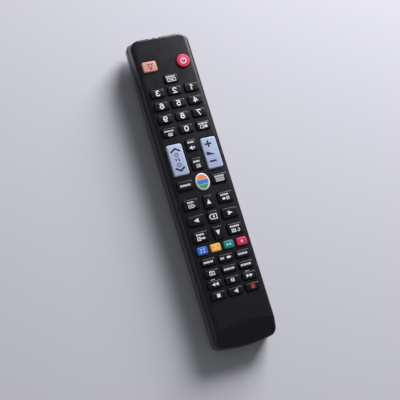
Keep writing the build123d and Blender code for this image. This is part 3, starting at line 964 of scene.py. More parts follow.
class Icons:
    """Plain pictograms and captions, each drawn in millimetres about the middle of its key."""

    source = (
        *label(0, 1.4, 7.6, 1.2),
        frame_line(0, -1.1, 6.2, 2.3),
        Line(((-1.9, -1.1), (0.5, -1.1)), 0.5),
        wedge(1.2, -1.1, 1.3, 1.5, 0),
    )
    text = (*label(0, 0.7, 7.5, 1.1), frame_line(0.2, -2.0, 2.6, 1.7), bar(0.2, -2.0, 1.4, 0.45, 0.1))
    last = (*label(0, 1.2, 7.0, 1.3), frame_line(-1.3, -1.2, 2.5, 1.9), bar(1.7, -1.2, 2.2, 1.9))
    mute = (
        *label(0.3, 2.0, 5.6, 1.4),
        Area(((-1.9, -2.8), (-1.1, -2.8), (0.2, -3.9), (0.2, -0.5), (-1.1, -1.6), (-1.9, -1.6))),
        Line(((0.9, -2.8), (1.8, -1.6)), 0.45),
        Line(((0.9, -1.6), (1.8, -2.8)), 0.45),
    )
    listing = (
        *label(0.3, 1.5, 5.6, 1.4),
        *(bar(1.0, y, 2.3, 0.5, 0.12) for y in (-1.0, -1.95, -2.9)),
        *(dot(-0.8, y, 0.33) for y in (-1.0, -1.95, -2.9)),
    )
    guide = label(0, 0, 8.0, 1.5)
    menu = (*label(0, 1.3, 6.9, 1.3), frame_line(0, -1.2, 5.8, 1.9), bar(0, -1.2, 4.0, 0.45, 0.1))
    info = (
        *label(0, 1.5, 5.4, 1.3),
        frame_line(-0.6, -1.3, 3.2, 2.0),
        bar(-0.6, -1.3, 1.6, 0.5, 0.1),
        wedge(2.2, -1.3, 1.0, 1.6, 0),
    )
    tools = (
        *label(0, 1.6, 6.6, 1.3),
        bar(-1.5, -1.2, 2.2, 1.5),
        ring(1.5, -1.2, 0.75, 0.5),
        *spokes(1.5, -1.2, 1.0, 1.35, 0.45, *range(0, 360, 60)),
    )
    enter = (
        Line(((-2.9, 0), (-1.6, 1.7), (2.6, 1.7), (2.6, -1.7), (-1.6, -1.7), (-2.9, 0)), 0.6),
        dot(0.4, 0, 0.75),
    )
    leave = (
        *label(-0.2, 1.5, 6.2, 1.4),
        Line(((-0.5, -0.3), (-2.9, -0.3), (-2.9, -2.4), (-0.5, -2.4)), 0.55),
        Line(((-1.7, -1.35), (1.6, -1.35)), 0.8),
        wedge(2.3, -1.35, 1.7, 2.1, 0),
    )
    back = (
        *label(0, 1.6, 7.0, 1.4),
        frame_line(-1.4, -1.4, 2.6, 1.9, 0.55),
        bar(-1.4, -1.4, 1.1, 0.7),
        ring(2.1, -1.4, 0.95, 0.55, -150, 90),
    )
    family = label(0, 0, 7.6, 1.5)
    picture = (*label(-2.3, 0, 3.8, 1.5), bar(1.5, 0, 1.7, 1.5), wedge(3.2, 0, 1.9, 2.2, 0))
    search = label(0, 0, 7.4, 1.5)
    camera = (frame_line(0, -0.2, 3.4, 2.2, 0.55), dot(0, -0.2, 0.55), bar(-0.7, 1.3, 1.3, 0.6))
    screen = label(0, 0, 7.9, 1.5)
    caption = label(0, 0, 8.3, 1.5)
    rewind = (wedge(-1.3, 0, 2.5, 2.6, 180), wedge(1.2, 0, 2.5, 2.6, 180))
    pause = (bar(-0.75, 0, 0.9, 2.5, 0.1), bar(0.75, 0, 0.9, 2.5, 0.1))
    forward = (wedge(-1.2, 0, 2.5, 2.6, 0), wedge(1.3, 0, 2.5, 2.6, 0))
    stop = (bar(0, 0, 2.5, 2.5, 0.15),)
    play = (wedge(0, 0, 3.0, 3.1, 180),)
    record = (dot(0, 0, 1.6),)
    bulb = (
        ring(0.5, 0.6, 1.35, 0.6, -50, 230),
        Line(((-0.4, -0.4), (0.15, -2.1), (0.85, -2.1), (1.4, -0.4)), 0.6),
        *spokes(0.5, 0.6, 2.1, 2.75, 0.6, 35, 145),
    )
    power = (ring(0, -0.1, 2.05, 0.66, 122, 418), Line(((0, 0.6), (0, 2.4)), 0.66))
    plus = (bar(0, 0, 5.1, 1.25, 0.15), bar(0, 0, 1.25, 5.1, 0.15))
    minus = (bar(0, 0, 5.2, 1.25, 0.15),)
    loudness = (Area(((-3.2, -1.5), (3.1, -1.5), (-3.2, 1.4))),)
    chevron_up = (Line(((-3.2, -0.8), (0.2, 1.3), (3.1, -0.8)), 1.3),)
    chevron_down = (Line(((-3.1, 1.0), (0.1, -1.2), (3.0, 1.0)), 1.3),)
    two_ticks = (Line(((-1.2, 0.8), (-1.2, -0.3)), 0.85), Line(((0.6, 1.0), (1.3, -0.9)), 0.8))
    target = (ring(0, 0, 1.3, 0.9), dot(0, 0, 0.35))


ARROW_LENGTH = 3.6
ARROW_BREADTH = 3.2


def arrow(heading: float) -> tuple[Mark, ...]:
    """The triangle on a direction key.

    Args:
        heading: Direction of the tip in degrees.

    Returns:
        Its mark.
    """
    return (wedge(0, 0, ARROW_LENGTH, ARROW_BREADTH, heading),)


PIP_RADIUS = 0.95
PIP_SHRINK = 0.08
PIP_PLACES: dict[int, tuple[Point, ...]] = {
    1: ((0, 0),),
    2: ((-1.1, 0), (1.1, 0)),
    3: ((-1.1, -0.8), (1.1, -0.8), (0, 0.9)),
    4: ((-1.1, -0.9), (1.1, -0.9), (-1.1, 0.9), (1.1, 0.9)),
}


def pips(count: int) -> tuple[Mark, ...]:
    """Small dots that tell the colour keys apart.

    Args:
        count: How many dots.

    Returns:
        The marks.
    """
    return tuple(dot(x, y, PIP_RADIUS - PIP_SHRINK * count) for x, y in PIP_PLACES[count])


# Meshes


INK_LAYER = 0.002
WELD_DIGITS = 5
SMOOTH_ANGLE = 35


class Axis(Enum):
    """Axis that a profile is turned round."""

    X = 0
    Y = 1
    Z = 2


class Body:
    """Gathers vertices and faces in millimetres and makes one piece of them."""

    def __init__(self) -> None:
        """Starts an empty mesh."""
        self.vertices: Ring = []
        self.faces: list[list[int]] = []

    def loft(self, rings: Sequence[Ring]) -> None:
        """Skins rings that all have the same number of points, and closes both ends.

        Args:
            rings: The rings, each anticlockwise as seen from the last one, first to last.
        """
        start, count = len(self.vertices), len(rings[0])
        for one in rings:
            self.vertices.extend(one)
        for level in range(len(rings) - 1):
            low = start + level * count
            for i in range(count):
                j = (i + 1) % count
                self.faces.append([low + i, low + j, low + count + j, low + count + i])
        self.faces.append([start + i for i in reversed(range(count))])
        self.faces.append([start + (len(rings) - 1) * count + i for i in range(count)])

    def block(self, low: Sequence[float], high: Sequence[float]) -> None:
        """Adds a box between its lowest and its highest corner."""
        outline = [(low[0], low[1]), (high[0], low[1]), (high[0], high[1]), (low[0], high[1])]
        self.loft([[(x, y, z) for x, y in outline] for z in (low[2], high[2])])

    def lathe(
        self, centre: Sequence[float], profile: Sequence[Point], axis: Axis = Axis.Y, steps: int = 40
    ) -> None:
        """Turns a profile round an axis.

        Args:
            centre: A point on the axis.
            profile: Points of distance along the axis and radius, from the low end to the high end.
            axis: The axis.
            steps: Number of facets round the axis.
        """
        along_index = axis.value
        rings = []
        for along, radius in profile:
            circle = []
            for u, v in arc((0, 0), (radius, radius), 0, 360, steps)[:-1]:
                point = list(centre)
                point[along_index] += along
                point[(along_index + 1) % 3] += u
                point[(along_index + 2) % 3] += v
                circle.append(tuple(point))
            rings.append(circle)
        self.loft(rings)

    def slab(self, cells: Sequence[Sequence[Point]], low: float, high: float) -> None:
        """Adds flat cells, which may share edges, as one thin solid.

        Args:
            cells: The cells, each anticlockwise.
            low: Height of the underside.
            high: Height of the top.
        """
        start = len(self.vertices)
        corners: dict[Point, int] = {}
        numbered = []
        for cell in cells:
            welded = [(round(x, WELD_DIGITS), round(y, WELD_DIGITS)) for x, y in cell]
            numbered.append([corners.setdefault(point, len(corners)) for point in welded])
        count = len(corners)
        self.vertices.extend((x, y, z) for z in (low, high) for x, y in corners)
        edges: dict[tuple[int, int], None] = {}
        for cell in numbered:
            self.faces.append([start + i for i in reversed(cell)])
            self.faces.append([start + count + i for i in cell])
            edges.update(dict.fromkeys(zip(cell, cell[1:] + cell[:1])))
        for a, b in edges:
            if (b, a) not in edges:
                self.faces.append([start + a, start + b, start + count + b, start + count + a])

    def marks(self, marks: Sequence[Mark], x: float, y: float, low: float, high: float) -> None:
        """Adds printed marks about (x, y) as thin raised shapes, each a hair over the one before it."""
        for layer, mark in enumerate(marks):
            self.slab(mark.shifted(x, y).cells(), low, high + layer * INK_LAYER)

    def piece(
        self, name: str, finish: Finish, body: str, slot: str, replaces: Sequence[str] = ()
    ) -> None:
        """Makes the object, paints it and ties it to the frame.

        Args:
            name: Name of the piece.
            finish: Its finish.
            body: The body of the frame that it rides on.
            slot: The record's material slot; not used.
            replaces: CAD nodes that it stands for.
        """
        mesh = bpy.data.meshes.new(name)
        mesh.from_pydata([tuple(c * MM for c in v) for v in self.vertices], [], self.faces)
        mesh.validate()
        mesh.update()
        mesh.shade_smooth()
        mesh.set_sharp_from_angle(angle=math.radians(SMOOTH_ANGLE))
        mesh.materials.append(PAINT.material(finish))
        item = bpy.data.objects.new(name, mesh)
        bpy.context.scene.collection.objects.link(item)
        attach(item, body)
        if replaces:
            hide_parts(*replaces)
        LOG.info("made %s", name)


def paint_node(frame: dict, node: str, finish: Finish) -> None:
    """Gives a CAD node its finish.

    Args:
        node: Name of the node.
        finish: Its finish.
    """
    item = frame["nodes"][node]
    item.data.materials.clear()
    item.data.materials.append(PAINT.material(finish))
    LOG.info("painted %s", node)


# Sub-assemblies


class Plan(Enum):
    """Plan shape of a key cap."""

    PAD = "pad"
    ROUND = "round"
    UP = "up"
    DOWN = "down"
    LEFT = "left"
    RIGHT = "right"


@dataclass(frozen=True)
class CapForm:
    """Moulded shape of a key: a cap with a soft upper rim, the flange that stops it, and its stems.

    print_room is what the ink may rise above the cap without leaving the CAD key.
    """

    corner: float = 1.5
    corner_least: float = 0.4
    top_round: float = 0.7
    round_steps: int = 5
    oval_steps: int = 48
    draft: float = 0.06
    flange_reach: float = 0.5
    flange_drop: float = 4.1
    flange_thickness: float = 0.8
    stem_inset: float = 1.6
    stem_lap: float = 0.05
    setback: float = 0.0
    narrow: float = 0.5
    print_room: float = 0.07
    ink_sunk: float = 0.02
    ink_depth: float = 0.03

    def corners(self, plan: Plan, width: float, depth: float) -> list[Point]:
        """Corners of the plan before they are rounded.

        Args:
            plan: Plan shape.
            width: Size along X.
            depth: Size along Y.

        Returns:
            The corners.
        """
        x, y, n = width / 2, depth / 2, self.narrow
        return {
            Plan.UP: [(-x, -y), (x, -y), (x - n, y), (n - x, y)],
            Plan.DOWN: [(n - x, -y), (x - n, -y), (x, y), (-x, y)],
            Plan.LEFT: [(-x, n - y), (x, -y), (x, y), (-x, y - n)],
            Plan.RIGHT: [(-x, -y), (x, n - y), (x, y - n), (-x, y)],
        }.get(plan, box_corners(width, depth))

    def outline(self, plan: Plan, width: float, depth: float, shrink: float) -> list[Point]:
        """Outline of the cap, shrunk by a distance.

        Args:
            plan: Plan shape.
            width: Size along X.
            depth: Size along Y.
            shrink: How far the outline lies inside the plan.

        Returns:
            The outline, with as many points for every shrink.
        """
        if plan is Plan.ROUND:
            return list(arc((0, 0), (width / 2 - shrink, depth / 2 - shrink), 0, 360, self.oval_steps)[:-1])
        radius = max(self.corner - shrink, self.corner_least)
        return rounded(inset(self.corners(plan, width, depth), shrink), radius)

    def build(self, body: Body, node: str, plan: Plan) -> tuple[float, float, float]:
        """Adds the cap, its flange and its stems in place of a CAD key.

        Args:
            body: Mesh that the key goes into.
            node: Name of the CAD key.
            plan: Plan shape.

        Returns:
            The middle of the cap's top along X and Y, and its height.
        """
        low, high = box_mm(node)
        x, y = (low.x + high.x) / 2, (low.y + high.y) / 2
        width = high.x - low.x - 2 * self.flange_reach
        depth = high.y - low.y - 2 * self.flange_reach
        top = high.z - self.print_room
        shelf = high.z - self.flange_drop
        levels = [(0.0, shelf - self.stem_lap), (self.draft, top - self.top_round)]
        for step in range(1, self.round_steps + 1):
            turn = math.pi / 2 * step / self.round_steps
            shrink = self.draft + self.top_round * (1 - math.cos(turn))
            levels.append((shrink, top - self.top_round * (1 - math.sin(turn))))
        rings = []
        for shrink, z in levels:
            outline = self.outline(plan, width, depth, shrink + self.setback)
            rings.append([(px + x, py + y, z) for px, py in outline])
        body.loft(rings)
        body.block((low.x, low.y, shelf - self.flange_thickness), (high.x, high.y, shelf))
        self.build_stems(body, x, y, width, depth, low.z, shelf - self.flange_thickness + self.stem_lap)
        return x, y, top

    def print_on(
        self, name: str, marks: Sequence[Mark], at: Sequence[float], ink: Finish, body: str, slot: str
    ) -> None:
        """Prints marks on the cap as a piece of their own.

        Args:
            name: Name of the piece.
            marks: The marks.
            at: The middle of the cap's top.
            ink: Finish of the print.
            body: The body that the key is.
            slot: The record's material slot.
        """
        x, y, top = at
        layer = Body()
        layer.marks(marks, x, y, top - self.ink_sunk, top + self.ink_depth)
        layer.piece(name, ink, body, slot)

    def build_stems(
        self, body: Body, x: float, y: float, width: float, depth: float, foot: float, head: float
    ) -> None:
        """Adds the stem that presses on the board's contact, from its foot up to its head."""
        half_x, half_y = width / 2 - self.stem_inset, depth / 2 - self.stem_inset
        body.block((x - half_x, y - half_y, foot), (x + half_x, y + half_y, head))


@dataclass(frozen=True)
class RockerForm(CapForm):
    """Shape of a rocker: a long cap on a round foot across its middle, with a stem at each end."""

    corner: float = 2.0
    setback: float = 0.35
    top_round: float = 0.9
    flange_drop: float = 4.65
    flange_thickness: float = 0.6
    stem_depth: float = 3.6
    stem_setback: float = 4.6
    foot_radius: float = 0.6
    foot_rise: float = 0.85
    foot_steps: int = 24

    def build_stems(
        self, body: Body, x: float, y: float, width: float, depth: float, foot: float, head: float
    ) -> None:
        """Adds both stems and the foot that the rocker tilts about.

        Args:
            body: Mesh that they go into.
            x: Middle of the rocker along X.
            y: Middle of the rocker along Y.
            width: Size of the cap along X.
            depth: Size of the cap along Y.
            foot: Height of the stems' lower ends.
            head: Height of their upper ends.
        """
        half_x = width / 2 - self.stem_inset
        for side in (-1, 1):
            middle = y + side * (depth / 2 - self.stem_setback)
            near, far = middle - self.stem_depth / 2, middle + self.stem_depth / 2
            body.block((x - half_x, near, foot), (x + half_x, far, head))
        profile = [(-half_x, self.foot_radius), (half_x, self.foot_radius)]
        body.lathe((x, y, foot + self.foot_rise), profile, Axis.X, self.foot_steps)


@dataclass(frozen=True)
class KeyDress:
    """What one key looks like: plan, finish, record slot and printed marks with their ink."""

    node: str
    marks: tuple[Mark, ...]
    plan: Plan = Plan.PAD
    finish: Finish = PALETTE.rubber
    slot: str = "key_rubber"
    ink: Finish = PALETTE.white_ink


KEYS: tuple[KeyDress, ...] = (
    KeyDress("key_light", Icons.bulb, finish=PALETTE.peach, slot="peach_cap", ink=PALETTE.brown_ink),
    KeyDress("key_power", Icons.power, Plan.ROUND, PALETTE.crimson, "crimson_cap"),
    KeyDress("key_source", Icons.source),
    *(KeyDress(f"key_{value}", digit(value)) for value in range(10)),
    KeyDress("key_text", Icons.text),
    KeyDress("key_last", Icons.last),
    KeyDress("key_mute", Icons.mute),
    KeyDress("key_list", Icons.listing),
    KeyDress("key_guide", Icons.guide),
    KeyDress("key_menu", Icons.menu),
    KeyDress("key_info", Icons.info),
    KeyDress("key_tools", Icons.tools),
    KeyDress("key_up", arrow(90), Plan.UP),
    KeyDress("key_left", arrow(180), Plan.LEFT),
    KeyDress("key_enter", Icons.enter),
    KeyDress("key_right", arrow(0), Plan.RIGHT),
    KeyDress("key_down", arrow(270), Plan.DOWN),
    KeyDress("key_exit", Icons.leave),
    KeyDress("key_return", Icons.back),
    KeyDress("key_blue", pips(4), finish=PALETTE.blue, slot="blue_cap", ink=PALETTE.pale_blue_ink),
    KeyDress("key_amber", pips(3), finish=PALETTE.amber, slot="amber_cap", ink=PALETTE.pale_yellow_ink),
    KeyDress("key_green", pips(2), finish=PALETTE.green, slot="green_cap", ink=PALETTE.pale_green_ink),
    KeyDress("key_red", pips(1), finish=PALETTE.red, slot="red_cap", ink=PALETTE.pale_pink_ink),
    KeyDress("key_family", Icons.family),
    KeyDress("key_picture", Icons.picture),
    KeyDress("key_search", Icons.search),
    KeyDress("key_camera", Icons.camera),
    KeyDress("key_screen", Icons.screen),
    KeyDress("key_caption", Icons.caption),
    KeyDress("key_rewind", Icons.rewind),
    KeyDress("key_pause", Icons.pause),
    KeyDress("key_forward", Icons.forward),
    KeyDress("key_stop", Icons.stop),
    KeyDress("key_play", Icons.play),
    KeyDress("key_record", Icons.record, ink=PALETTE.red_ink),
)


@dataclass(frozen=True)
class Keypad:
    """The keys that only press down, each a cap with its print.

    hub_splits are the heights at which the hub's colours meet, as shares of the fields' half depth.
    """

    form: CapForm = CapForm()
    hub_rim: float = 1.25
    hub_gap: float = 0.35
    hub_steps: int = 24
    hub_splits: tuple[float, float] = (0.3, -0.36)

    def build(self) -> None:
        """Makes every key and its print."""
        for dress in KEYS:
            cap, node = Body(), dress.node
            at = self.form.build(cap, node, dress.plan)
            cap.piece(f"cap_{node}", dress.finish, node, dress.slot, [node])
            self.form.print_on(f"print_{node}", dress.marks, at, dress.ink, node, dress.slot)
        self.build_hub()

    def build_hub(self) -> None:
        """Makes the oval key: three colour fields one above the other inside a white rim."""
        cap = Body()
        at = self.form.build(cap, "key_hub", Plan.ROUND)
        cap.piece("cap_key_hub", PALETTE.white, "key_hub", "hub_cap", ["key_hub"])
        low, high = box_mm("key_hub")
        half_x = (high.x - low.x) / 2 - self.form.flange_reach - self.hub_rim
        half_y = (high.y - low.y) / 2 - self.form.flange_reach - self.hub_rim
        upper, lower = self.hub_splits
        gap = self.hub_gap / 2 / half_y
        fields = (
            ("orange", PALETTE.orange_ink, upper + gap, 1.0),
            ("blue", PALETTE.blue_ink, lower + gap, upper - gap),
            ("green", PALETTE.green_ink, -1.0, lower - gap),
        )
        for name, ink, start, end in fields:
            first, last = math.degrees(math.asin(start)), math.degrees(math.asin(end))
            right = arc((0, 0), (half_x, half_y), first, last, self.hub_steps)
            left = arc((0, 0), (half_x, half_y), 180 - last, 180 - first, self.hub_steps)
            outline = [*right, *(left[1:] if end == 1.0 else left)]
            field = Area(tuple(outline[:-1] if start == -1.0 else outline))
            self.form.print_on(f"print_key_hub_{name}", [field], at, ink, "key_hub", "hub_cap")


@dataclass(frozen=True)
class Rockers:
    """The two rocker keys beside the middle column."""

    form: RockerForm = RockerForm()
    chevron_rise: float = 7.1
    target_rise: float = 3.8
    volume_shift: float = -0.8
    plus_rise: float = 6.8
    minus_rise: float = -6.3

    def build(self) -> None:
        """Makes both rockers and their prints."""
        channel = (
            *moved(Icons.chevron_up, 0, self.chevron_rise),
            *Icons.two_ticks,
            *moved(Icons.chevron_down, 0, -self.chevron_rise),
        )
        volume = (
            *moved(Icons.plus, self.volume_shift, self.plus_rise),
            *moved(Icons.loudness, self.volume_shift, 0),
            *moved(Icons.minus, self.volume_shift, self.minus_rise),
        )
        targets = tuple(mark for side in (-1, 1) for mark in moved(Icons.target, 0, side * self.target_rise))
        prints = {"signs": (PALETTE.navy_ink, channel), "targets": (PALETTE.grey_ink, targets)}
        self.build_rocker("rocker_channel", prints)
        self.build_rocker("rocker_volume", {"signs": (PALETTE.navy_ink, volume)})

    def build_rocker(self, node: str, prints: dict[str, tuple[Finish, tuple[Mark, ...]]]) -> None:
        """Makes one rocker and its prints.

        Args:
            node: Name of the CAD rocker.
            prints: The ink and marks of each print, by the print's name.
        """
        cap = Body()
        at = self.form.build(cap, node, Plan.PAD)
        cap.piece(f"cap_{node}", PALETTE.rocker, node, "rocker_cap", [node])
        for name, (ink, marks) in prints.items():
            self.form.print_on(f"print_{node}_{name}", marks, at, ink, node, "rocker_cap")


@dataclass(frozen=True)
class Housing:
    """Front and rear mouldings and the battery door, with the small prints on the face.

    The face drops by crown_drop from its middle to crown_half.
    """

    crown_half: float = 18.5
    crown_drop: float = 0.4
    ink_sunk: float = 0.03
    ink_depth: float = 0.03
    label_width: float = 3.5
    label_height: float = 0.8
    label_rise: float = 3.55

    def build(self, frame: dict) -> None:
        """Paints the mouldings and prints the small labels above two of the strip keys.
        """
        paint_node(frame, "front_housing", PALETTE.housing)
        # The rear moulding and the door take the lighter grey, which is partly painted light on the rear's
        # side strip
        paint_node(frame, "rear_housing", PALETTE.slate_and_painted_light)
        paint_node(frame, "battery_door", PALETTE.slate_and_painted_light)
        ink = Body()
        for node in ("key_rewind", "key_forward"):
            low, high = box_mm(node)
            marks = label(0, self.label_rise, self.label_width, self.label_height)
            ink.marks(marks, (low.x + high.x) / 2, (low.y + high.y) / 2, -self.ink_sunk, self.ink_depth)
        ink.vertices = [(x, y, z + self.face_height(x)) for x, y, z in ink.vertices]
        ink.piece("print_face_dashes", PALETTE.white_ink, ROOT_BODY, "housing_plastic")

    def face_height(self, x: float) -> float:
        """Height of the crowned face at a place along X, away from its shoulders and its bend."""
        return box_mm("front_housing")[1].z - self.crown_drop * (x / self.crown_half) ** 2


@dataclass(frozen=True)
class Electronics:
    """Circuit board, silicone sheet, components and diodes."""

    pad_radius: float = 1.9
    pad_depth: float = 0.02
    controller_y: float = 62.72
    controller_half: float = 6.0
    lead_count: int = 8
    lead_pitch: float = 1.27
    lead_width: float = 0.4
    lead_thickness: float = 0.2
    lead_reach: float = 1.6
    diode_radius: float = 1.5
    diode_length: float = 5.2
    diode_flange_radius: float = 1.8
    diode_flange: float = 0.9
    diode_dome_steps: int = 8
    diode_dome_pole: float = 0.2
    wire: float = 0.5
    wire_pitch: float = 1.6

    def build(self, frame: dict) -> None:
        """Paints the CAD nodes and adds pads, leads and domed lenses.
        """
        paint_node(frame, "keypad_sheet", PALETTE.sheet)
        paint_node(frame, "circuit_board", PALETTE.board)
        paint_node(frame, "board_components", PALETTE.package)
        paint_node(frame, "backlight_diodes", PALETTE.glow)
        self.build_pads()
        self.build_leads()
        self.build_infrared()

    def build_pads(self) -> None:
        """Prints a carbon pad on the board under each key that KEYS lists."""
        top = box_mm("circuit_board")[1].z
        pads = Body()
        for dress in KEYS:
            low, high = box_mm(dress.node)
            pad = dot((low.x + high.x) / 2, (low.y + high.y) / 2, self.pad_radius)
            pads.slab(pad.cells(), top - self.pad_depth, top + self.pad_depth)
        pads.piece("board_carbon_pads", PALETTE.carbon, ROOT_BODY, "board_laminate")

    def build_leads(self) -> None:
        """Adds tinned leads along two sides of the controller."""
        under = box_mm("circuit_board")[0].z
        leads = Body()
        for side in (-1, 1):
            near = self.controller_y + side * self.controller_half
            far = near + side * self.lead_reach
            for place in range(self.lead_count):
                x = (place - (self.lead_count - 1) / 2) * self.lead_pitch
                leads.block(
                    (x - self.lead_width / 2, min(near, far), under - self.lead_thickness),
                    (x + self.lead_width / 2, max(near, far), under),
                )
        leads.piece("controller_leads", PALETTE.tinned, ROOT_BODY, "component_body")

    def build_infrared(self) -> None:
        """Makes the two domed diodes, each with a tiny flat at its pole, and their wires."""
        low, high = box_mm("infrared_diodes")
        height = high.z - self.diode_flange_radius
        half = self.wire / 2
        back = high.y - self.diode_length - self.diode_flange
        dome = high.y - self.diode_radius - back
        profile = [
            (0, self.diode_flange_radius),
            (self.diode_flange, self.diode_flange_radius),
            (self.diode_flange, self.diode_radius),
            (dome, self.diode_radius),
        ]
        for step in range(1, self.diode_dome_steps + 1):
            turn = math.pi / 2 * step / (self.diode_dome_steps + self.diode_dome_pole)
            profile.append((dome + self.diode_radius * math.sin(turn), self.diode_radius * math.cos(turn)))
        lenses, wires = Body(), Body()
        for x in (low.x + self.diode_flange_radius, high.x - self.diode_flange_radius):
            lenses.lathe((x, back, height), profile)
            for side in (-1, 1):
                at = x + side * self.wire_pitch / 2
                wires.block((at - half, low.y, height - half), (at + half, back + half, height + half))
                wires.block((at - half, low.y, low.z), (at + half, low.y + self.wire, height))
        lenses.piece("infrared_lenses", PALETTE.infrared, ROOT_BODY, "infrared_resin", ["infrared_diodes"])
        wires.piece("infrared_wires", PALETTE.tinned, ROOT_BODY, "infrared_resin")


@dataclass(frozen=True)
class PowerPack:
    """Cells, contacts and housing screws."""

    nub_radius: float = 1.9
    nub_length: float = 0.9
    shoulder: float = 0.6
    film_end: float = 0.35
    film_depth: float = 0.08
    head_radius: float = 2.1
    head_height: float = 1.5
    head_edge: float = 0.35
    recess_depth: float = 0.9
    recess_reach: float = 1.35
    recess_half: float = 0.3
    shank_radius: float = 1.1
    thread_depth: float = 0.3
    thread_start: float = 1.0
    thread_pitch: float = 1.0
    thread_count: int = 7
    tip_steps: int = 4
    between_steps: int = 12

    def build(self, frame: dict) -> None:
        """Paints the contacts and makes the screws and the sleeved cells.
        """
        paint_node(frame, "contact_plates", PALETTE.nickel)
        paint_node(frame, "contact_leaves", PALETTE.bronze)
        self.build_cell("battery_left", flipped=False)
        self.build_cell("battery_right", flipped=True)
        self.build_screws()

    def build_cell(self, node: str, flipped: bool) -> None:
        """Makes one cell: a steel can with its nub, and a printed film round it.

        Args:
            node: Name of the CAD cell.
            flipped: Whether its nub is at the battery end. Otherwise it is at the infrared end.
        """
        low, high = box_mm(node)
        radius = (high.x - low.x) / 2
        length = high.y - low.y
        skin = radius - self.film_depth
        can = [
            (0, skin - self.shoulder),
            (self.shoulder / 2, skin),
            (length - self.nub_length - self.shoulder, skin),
            (length - self.nub_length, skin - self.shoulder),
            (length - self.nub_length, self.nub_radius),
            (length - self.nub_length / 4, self.nub_radius),
            (length, self.nub_radius - self.nub_length / 4),
        ]
        film = [
            (self.film_end, skin - self.shoulder / 2),
            (self.film_end + self.shoulder / 2, radius),
            (length - self.nub_length - self.film_end - self.shoulder, radius),
            (length - self.nub_length - self.film_end, skin - self.shoulder / 2),
        ]
        sleeve = PALETTE.sleeve
        if flipped:
            ends = low.y + high.y
            sleeve = replace(
                sleeve,
                name="shrink_film_dark_turned",
                band_low=ends - sleeve.band_high,
                band_high=ends - sleeve.band_low,
            )
            can = [(length - along, size) for along, size in reversed(can)]
            film = [(length - along, size) for along, size in reversed(film)]
        for suffix, profile, finish in (("can", can, PALETTE.can), ("film", film, sleeve)):
            body = Body()
            body.lathe(((low.x + high.x) / 2, low.y, (low.z + high.z) / 2), profile)
            replaces = [node] if suffix == "can" else []
            body.piece(f"{node}_{suffix}", finish, ROOT_BODY, "cell_sleeve", replaces)

    def build_screws(self) -> None:
        """Makes the two self-tapping screws, head down, with cross recesses and threads."""
        low, high = box_mm("housing_screws")
        y = (low.y + high.y) / 2
        floor = low.z + self.recess_depth
        head = [
            (0, self.head_radius),
            (self.head_height - self.recess_depth - self.head_edge, self.head_radius),
            (self.head_height - self.recess_depth, self.head_radius - self.head_edge),
            (self.head_height - self.recess_depth, self.shank_radius),
        ]
        start = head[-1][0]
        for turn in range(self.thread_count):
            root = start + self.thread_start + turn * self.thread_pitch
            head.append((root, self.shank_radius - self.thread_depth))
            head.append((root + self.thread_pitch / 2, self.shank_radius))
        head.append((high.z - floor, self.shank_radius - self.thread_depth))
        screws = Body()
        for x in (low.x + self.head_radius, high.x - self.head_radius):
            screws.lathe((x, y, floor), head, Axis.Z)
            cells = [[(px + x, py + y) for px, py in cell] for cell in self.recess_cells()]
            screws.slab(cells, low.z, floor + INK_LAYER)
        screws.piece("housing_screws_cross", PALETTE.zinc, ROOT_BODY, "screw_steel", ["housing_screws"])

    def recess_cells(self) -> list[list[Point]]:
        """Cells of the head's outer layer, a disc with a cross left out.

        Returns:
            Four cells at the ends of the cross and four between its arms.
        """
        near, far, radius = self.recess_half, self.recess_reach, self.head_radius
        split = math.degrees(math.asin(near / radius))
        cells = []
        for quarter in range(4):
            turn = quarter * 90
            tip = arc((0, 0), (radius, radius), turn - split, turn + split, self.tip_steps)
            between = arc((0, 0), (radius, radius), turn + split, turn + 90 - split, self.between_steps)
            inner = [self.turned(at, turn) for at in ((far, -near), (far, near), (near, near), (near, far))]
            cells.append([inner[0], *tip, inner[1]])
            cells.append([inner[2], inner[1], *between, inner[3]])
        return cells

    @staticmethod
    def turned(point: Point, angle: float) -> Point:
        """The point, turned about the origin by an angle in degrees."""
        c, s = math.cos(math.radians(angle)), math.sin(math.radians(angle))
        return point[0] * c - point[1] * s, point[0] * s + point[1] * c


@dataclass(frozen=True)
class Softbox:
    """One studio light."""

    name: str
    place: tuple[float, float, float]
    size: tuple[float, float]
    power: float
    colour: str
    target: tuple[float, float, float] = (0, 0, 0)

    def build(self) -> None:
        """Adds the light, turned to its target."""
        data = bpy.data.lights.new(self.name, "AREA")
        data.shape = "RECTANGLE"
        data.size, data.size_y = (side * MM for side in self.size)
        data.energy = self.power
        data.color = linear(self.colour)[:3]
        lamp = bpy.data.objects.new(self.name, data)
        lamp.location = [c * MM for c in self.place]
        aim = Vector(self.target) - Vector(self.place)
        lamp.rotation_euler = aim.to_track_quat("-Z", "Y").to_euler()
        bpy.context.scene.collection.objects.link(lamp)


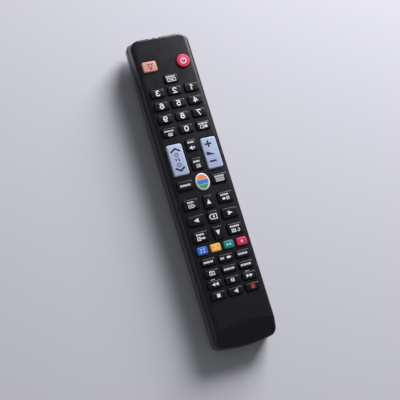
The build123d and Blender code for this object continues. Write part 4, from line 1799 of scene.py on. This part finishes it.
@dataclass(frozen=True)
class Studio:
    """Floor, one lamp, the room's light and the camera at the photograph's angle."""

    floor_size: float = 6000.0
    # Rolled paint on board: dull and even, so that the shadow alone shows on it
    floor_finish: Finish = Finish(
        "painted_board_pale", "ced0d4", roughness=0.7, grain=1.5, cloud=300, cloud_share=0.02, edge_fade=0.0
    )
    lens: float = 87.15
    sensor: float = 36.0
    clip_start: float = 10.0
    # Fitted to where the middles of the keys lie in the photograph
    camera_place: tuple[float, float, float] = (-213.11, -135.13, 662.06)
    camera_angles: tuple[float, float, float] = (15.3133, -14.1769, -17.1357)
    room_light: float = 0.2
    room_colour: str = "e9ebf2"
    softboxes: tuple[Softbox, ...] = (
        Softbox("main_back_right", place=(840, 1030, 690), size=(850, 850), power=41.0, colour="fbf8ff"),
    )

    def build(self) -> None:
        """Builds the stage and the camera."""
        scene = bpy.context.scene
        scene.view_settings.view_transform = "Standard"
        self.build_floor()
        self.build_room()
        for softbox in self.softboxes:
            softbox.build()
        data = bpy.data.cameras.new("camera")
        data.lens, data.sensor_width, data.clip_start = self.lens, self.sensor, self.clip_start * MM
        camera = bpy.data.objects.new("camera", data)
        camera.location = [c * MM for c in self.camera_place]
        camera.rotation_euler = [math.radians(a) for a in self.camera_angles]
        scene.collection.objects.link(camera)
        scene.camera = camera

    def build_floor(self) -> None:
        """Lays the pale floor that the remote rests on."""
        half = self.floor_size / 2 * MM
        mesh = bpy.data.meshes.new("floor")
        corners = [(-half, -half, 0), (half, -half, 0), (half, half, 0), (-half, half, 0)]
        mesh.from_pydata(corners, [], [(0, 1, 2, 3)])
        mesh.materials.append(PAINT.material(self.floor_finish))
        floor = bpy.data.objects.new("floor", mesh)
        bpy.context.scene.collection.objects.link(floor)

    def build_room(self) -> None:
        """Sets the even light of the room."""
        world = bpy.data.worlds.new("room")
        world.use_nodes = True
        world.node_tree.nodes.clear()
        light = add_node(
            world.node_tree,
            "ShaderNodeBackground",
            links={"Color": linear(self.room_colour), "Strength": self.room_light},
        )
        add_node(world.node_tree, "ShaderNodeOutputWorld", links={"Surface": (light, 0)})
        bpy.context.scene.world = world


def main() -> None:
    """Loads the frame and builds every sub-assembly in order."""
    logging.basicConfig(level=logging.INFO, format="%(name)s: %(message)s")
    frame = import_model()
    Studio().build()
    Housing().build(frame)
    Keypad().build()
    Rockers().build()
    Electronics().build(frame)
    PowerPack().build(frame)


if __name__ == "__main__":
    main()
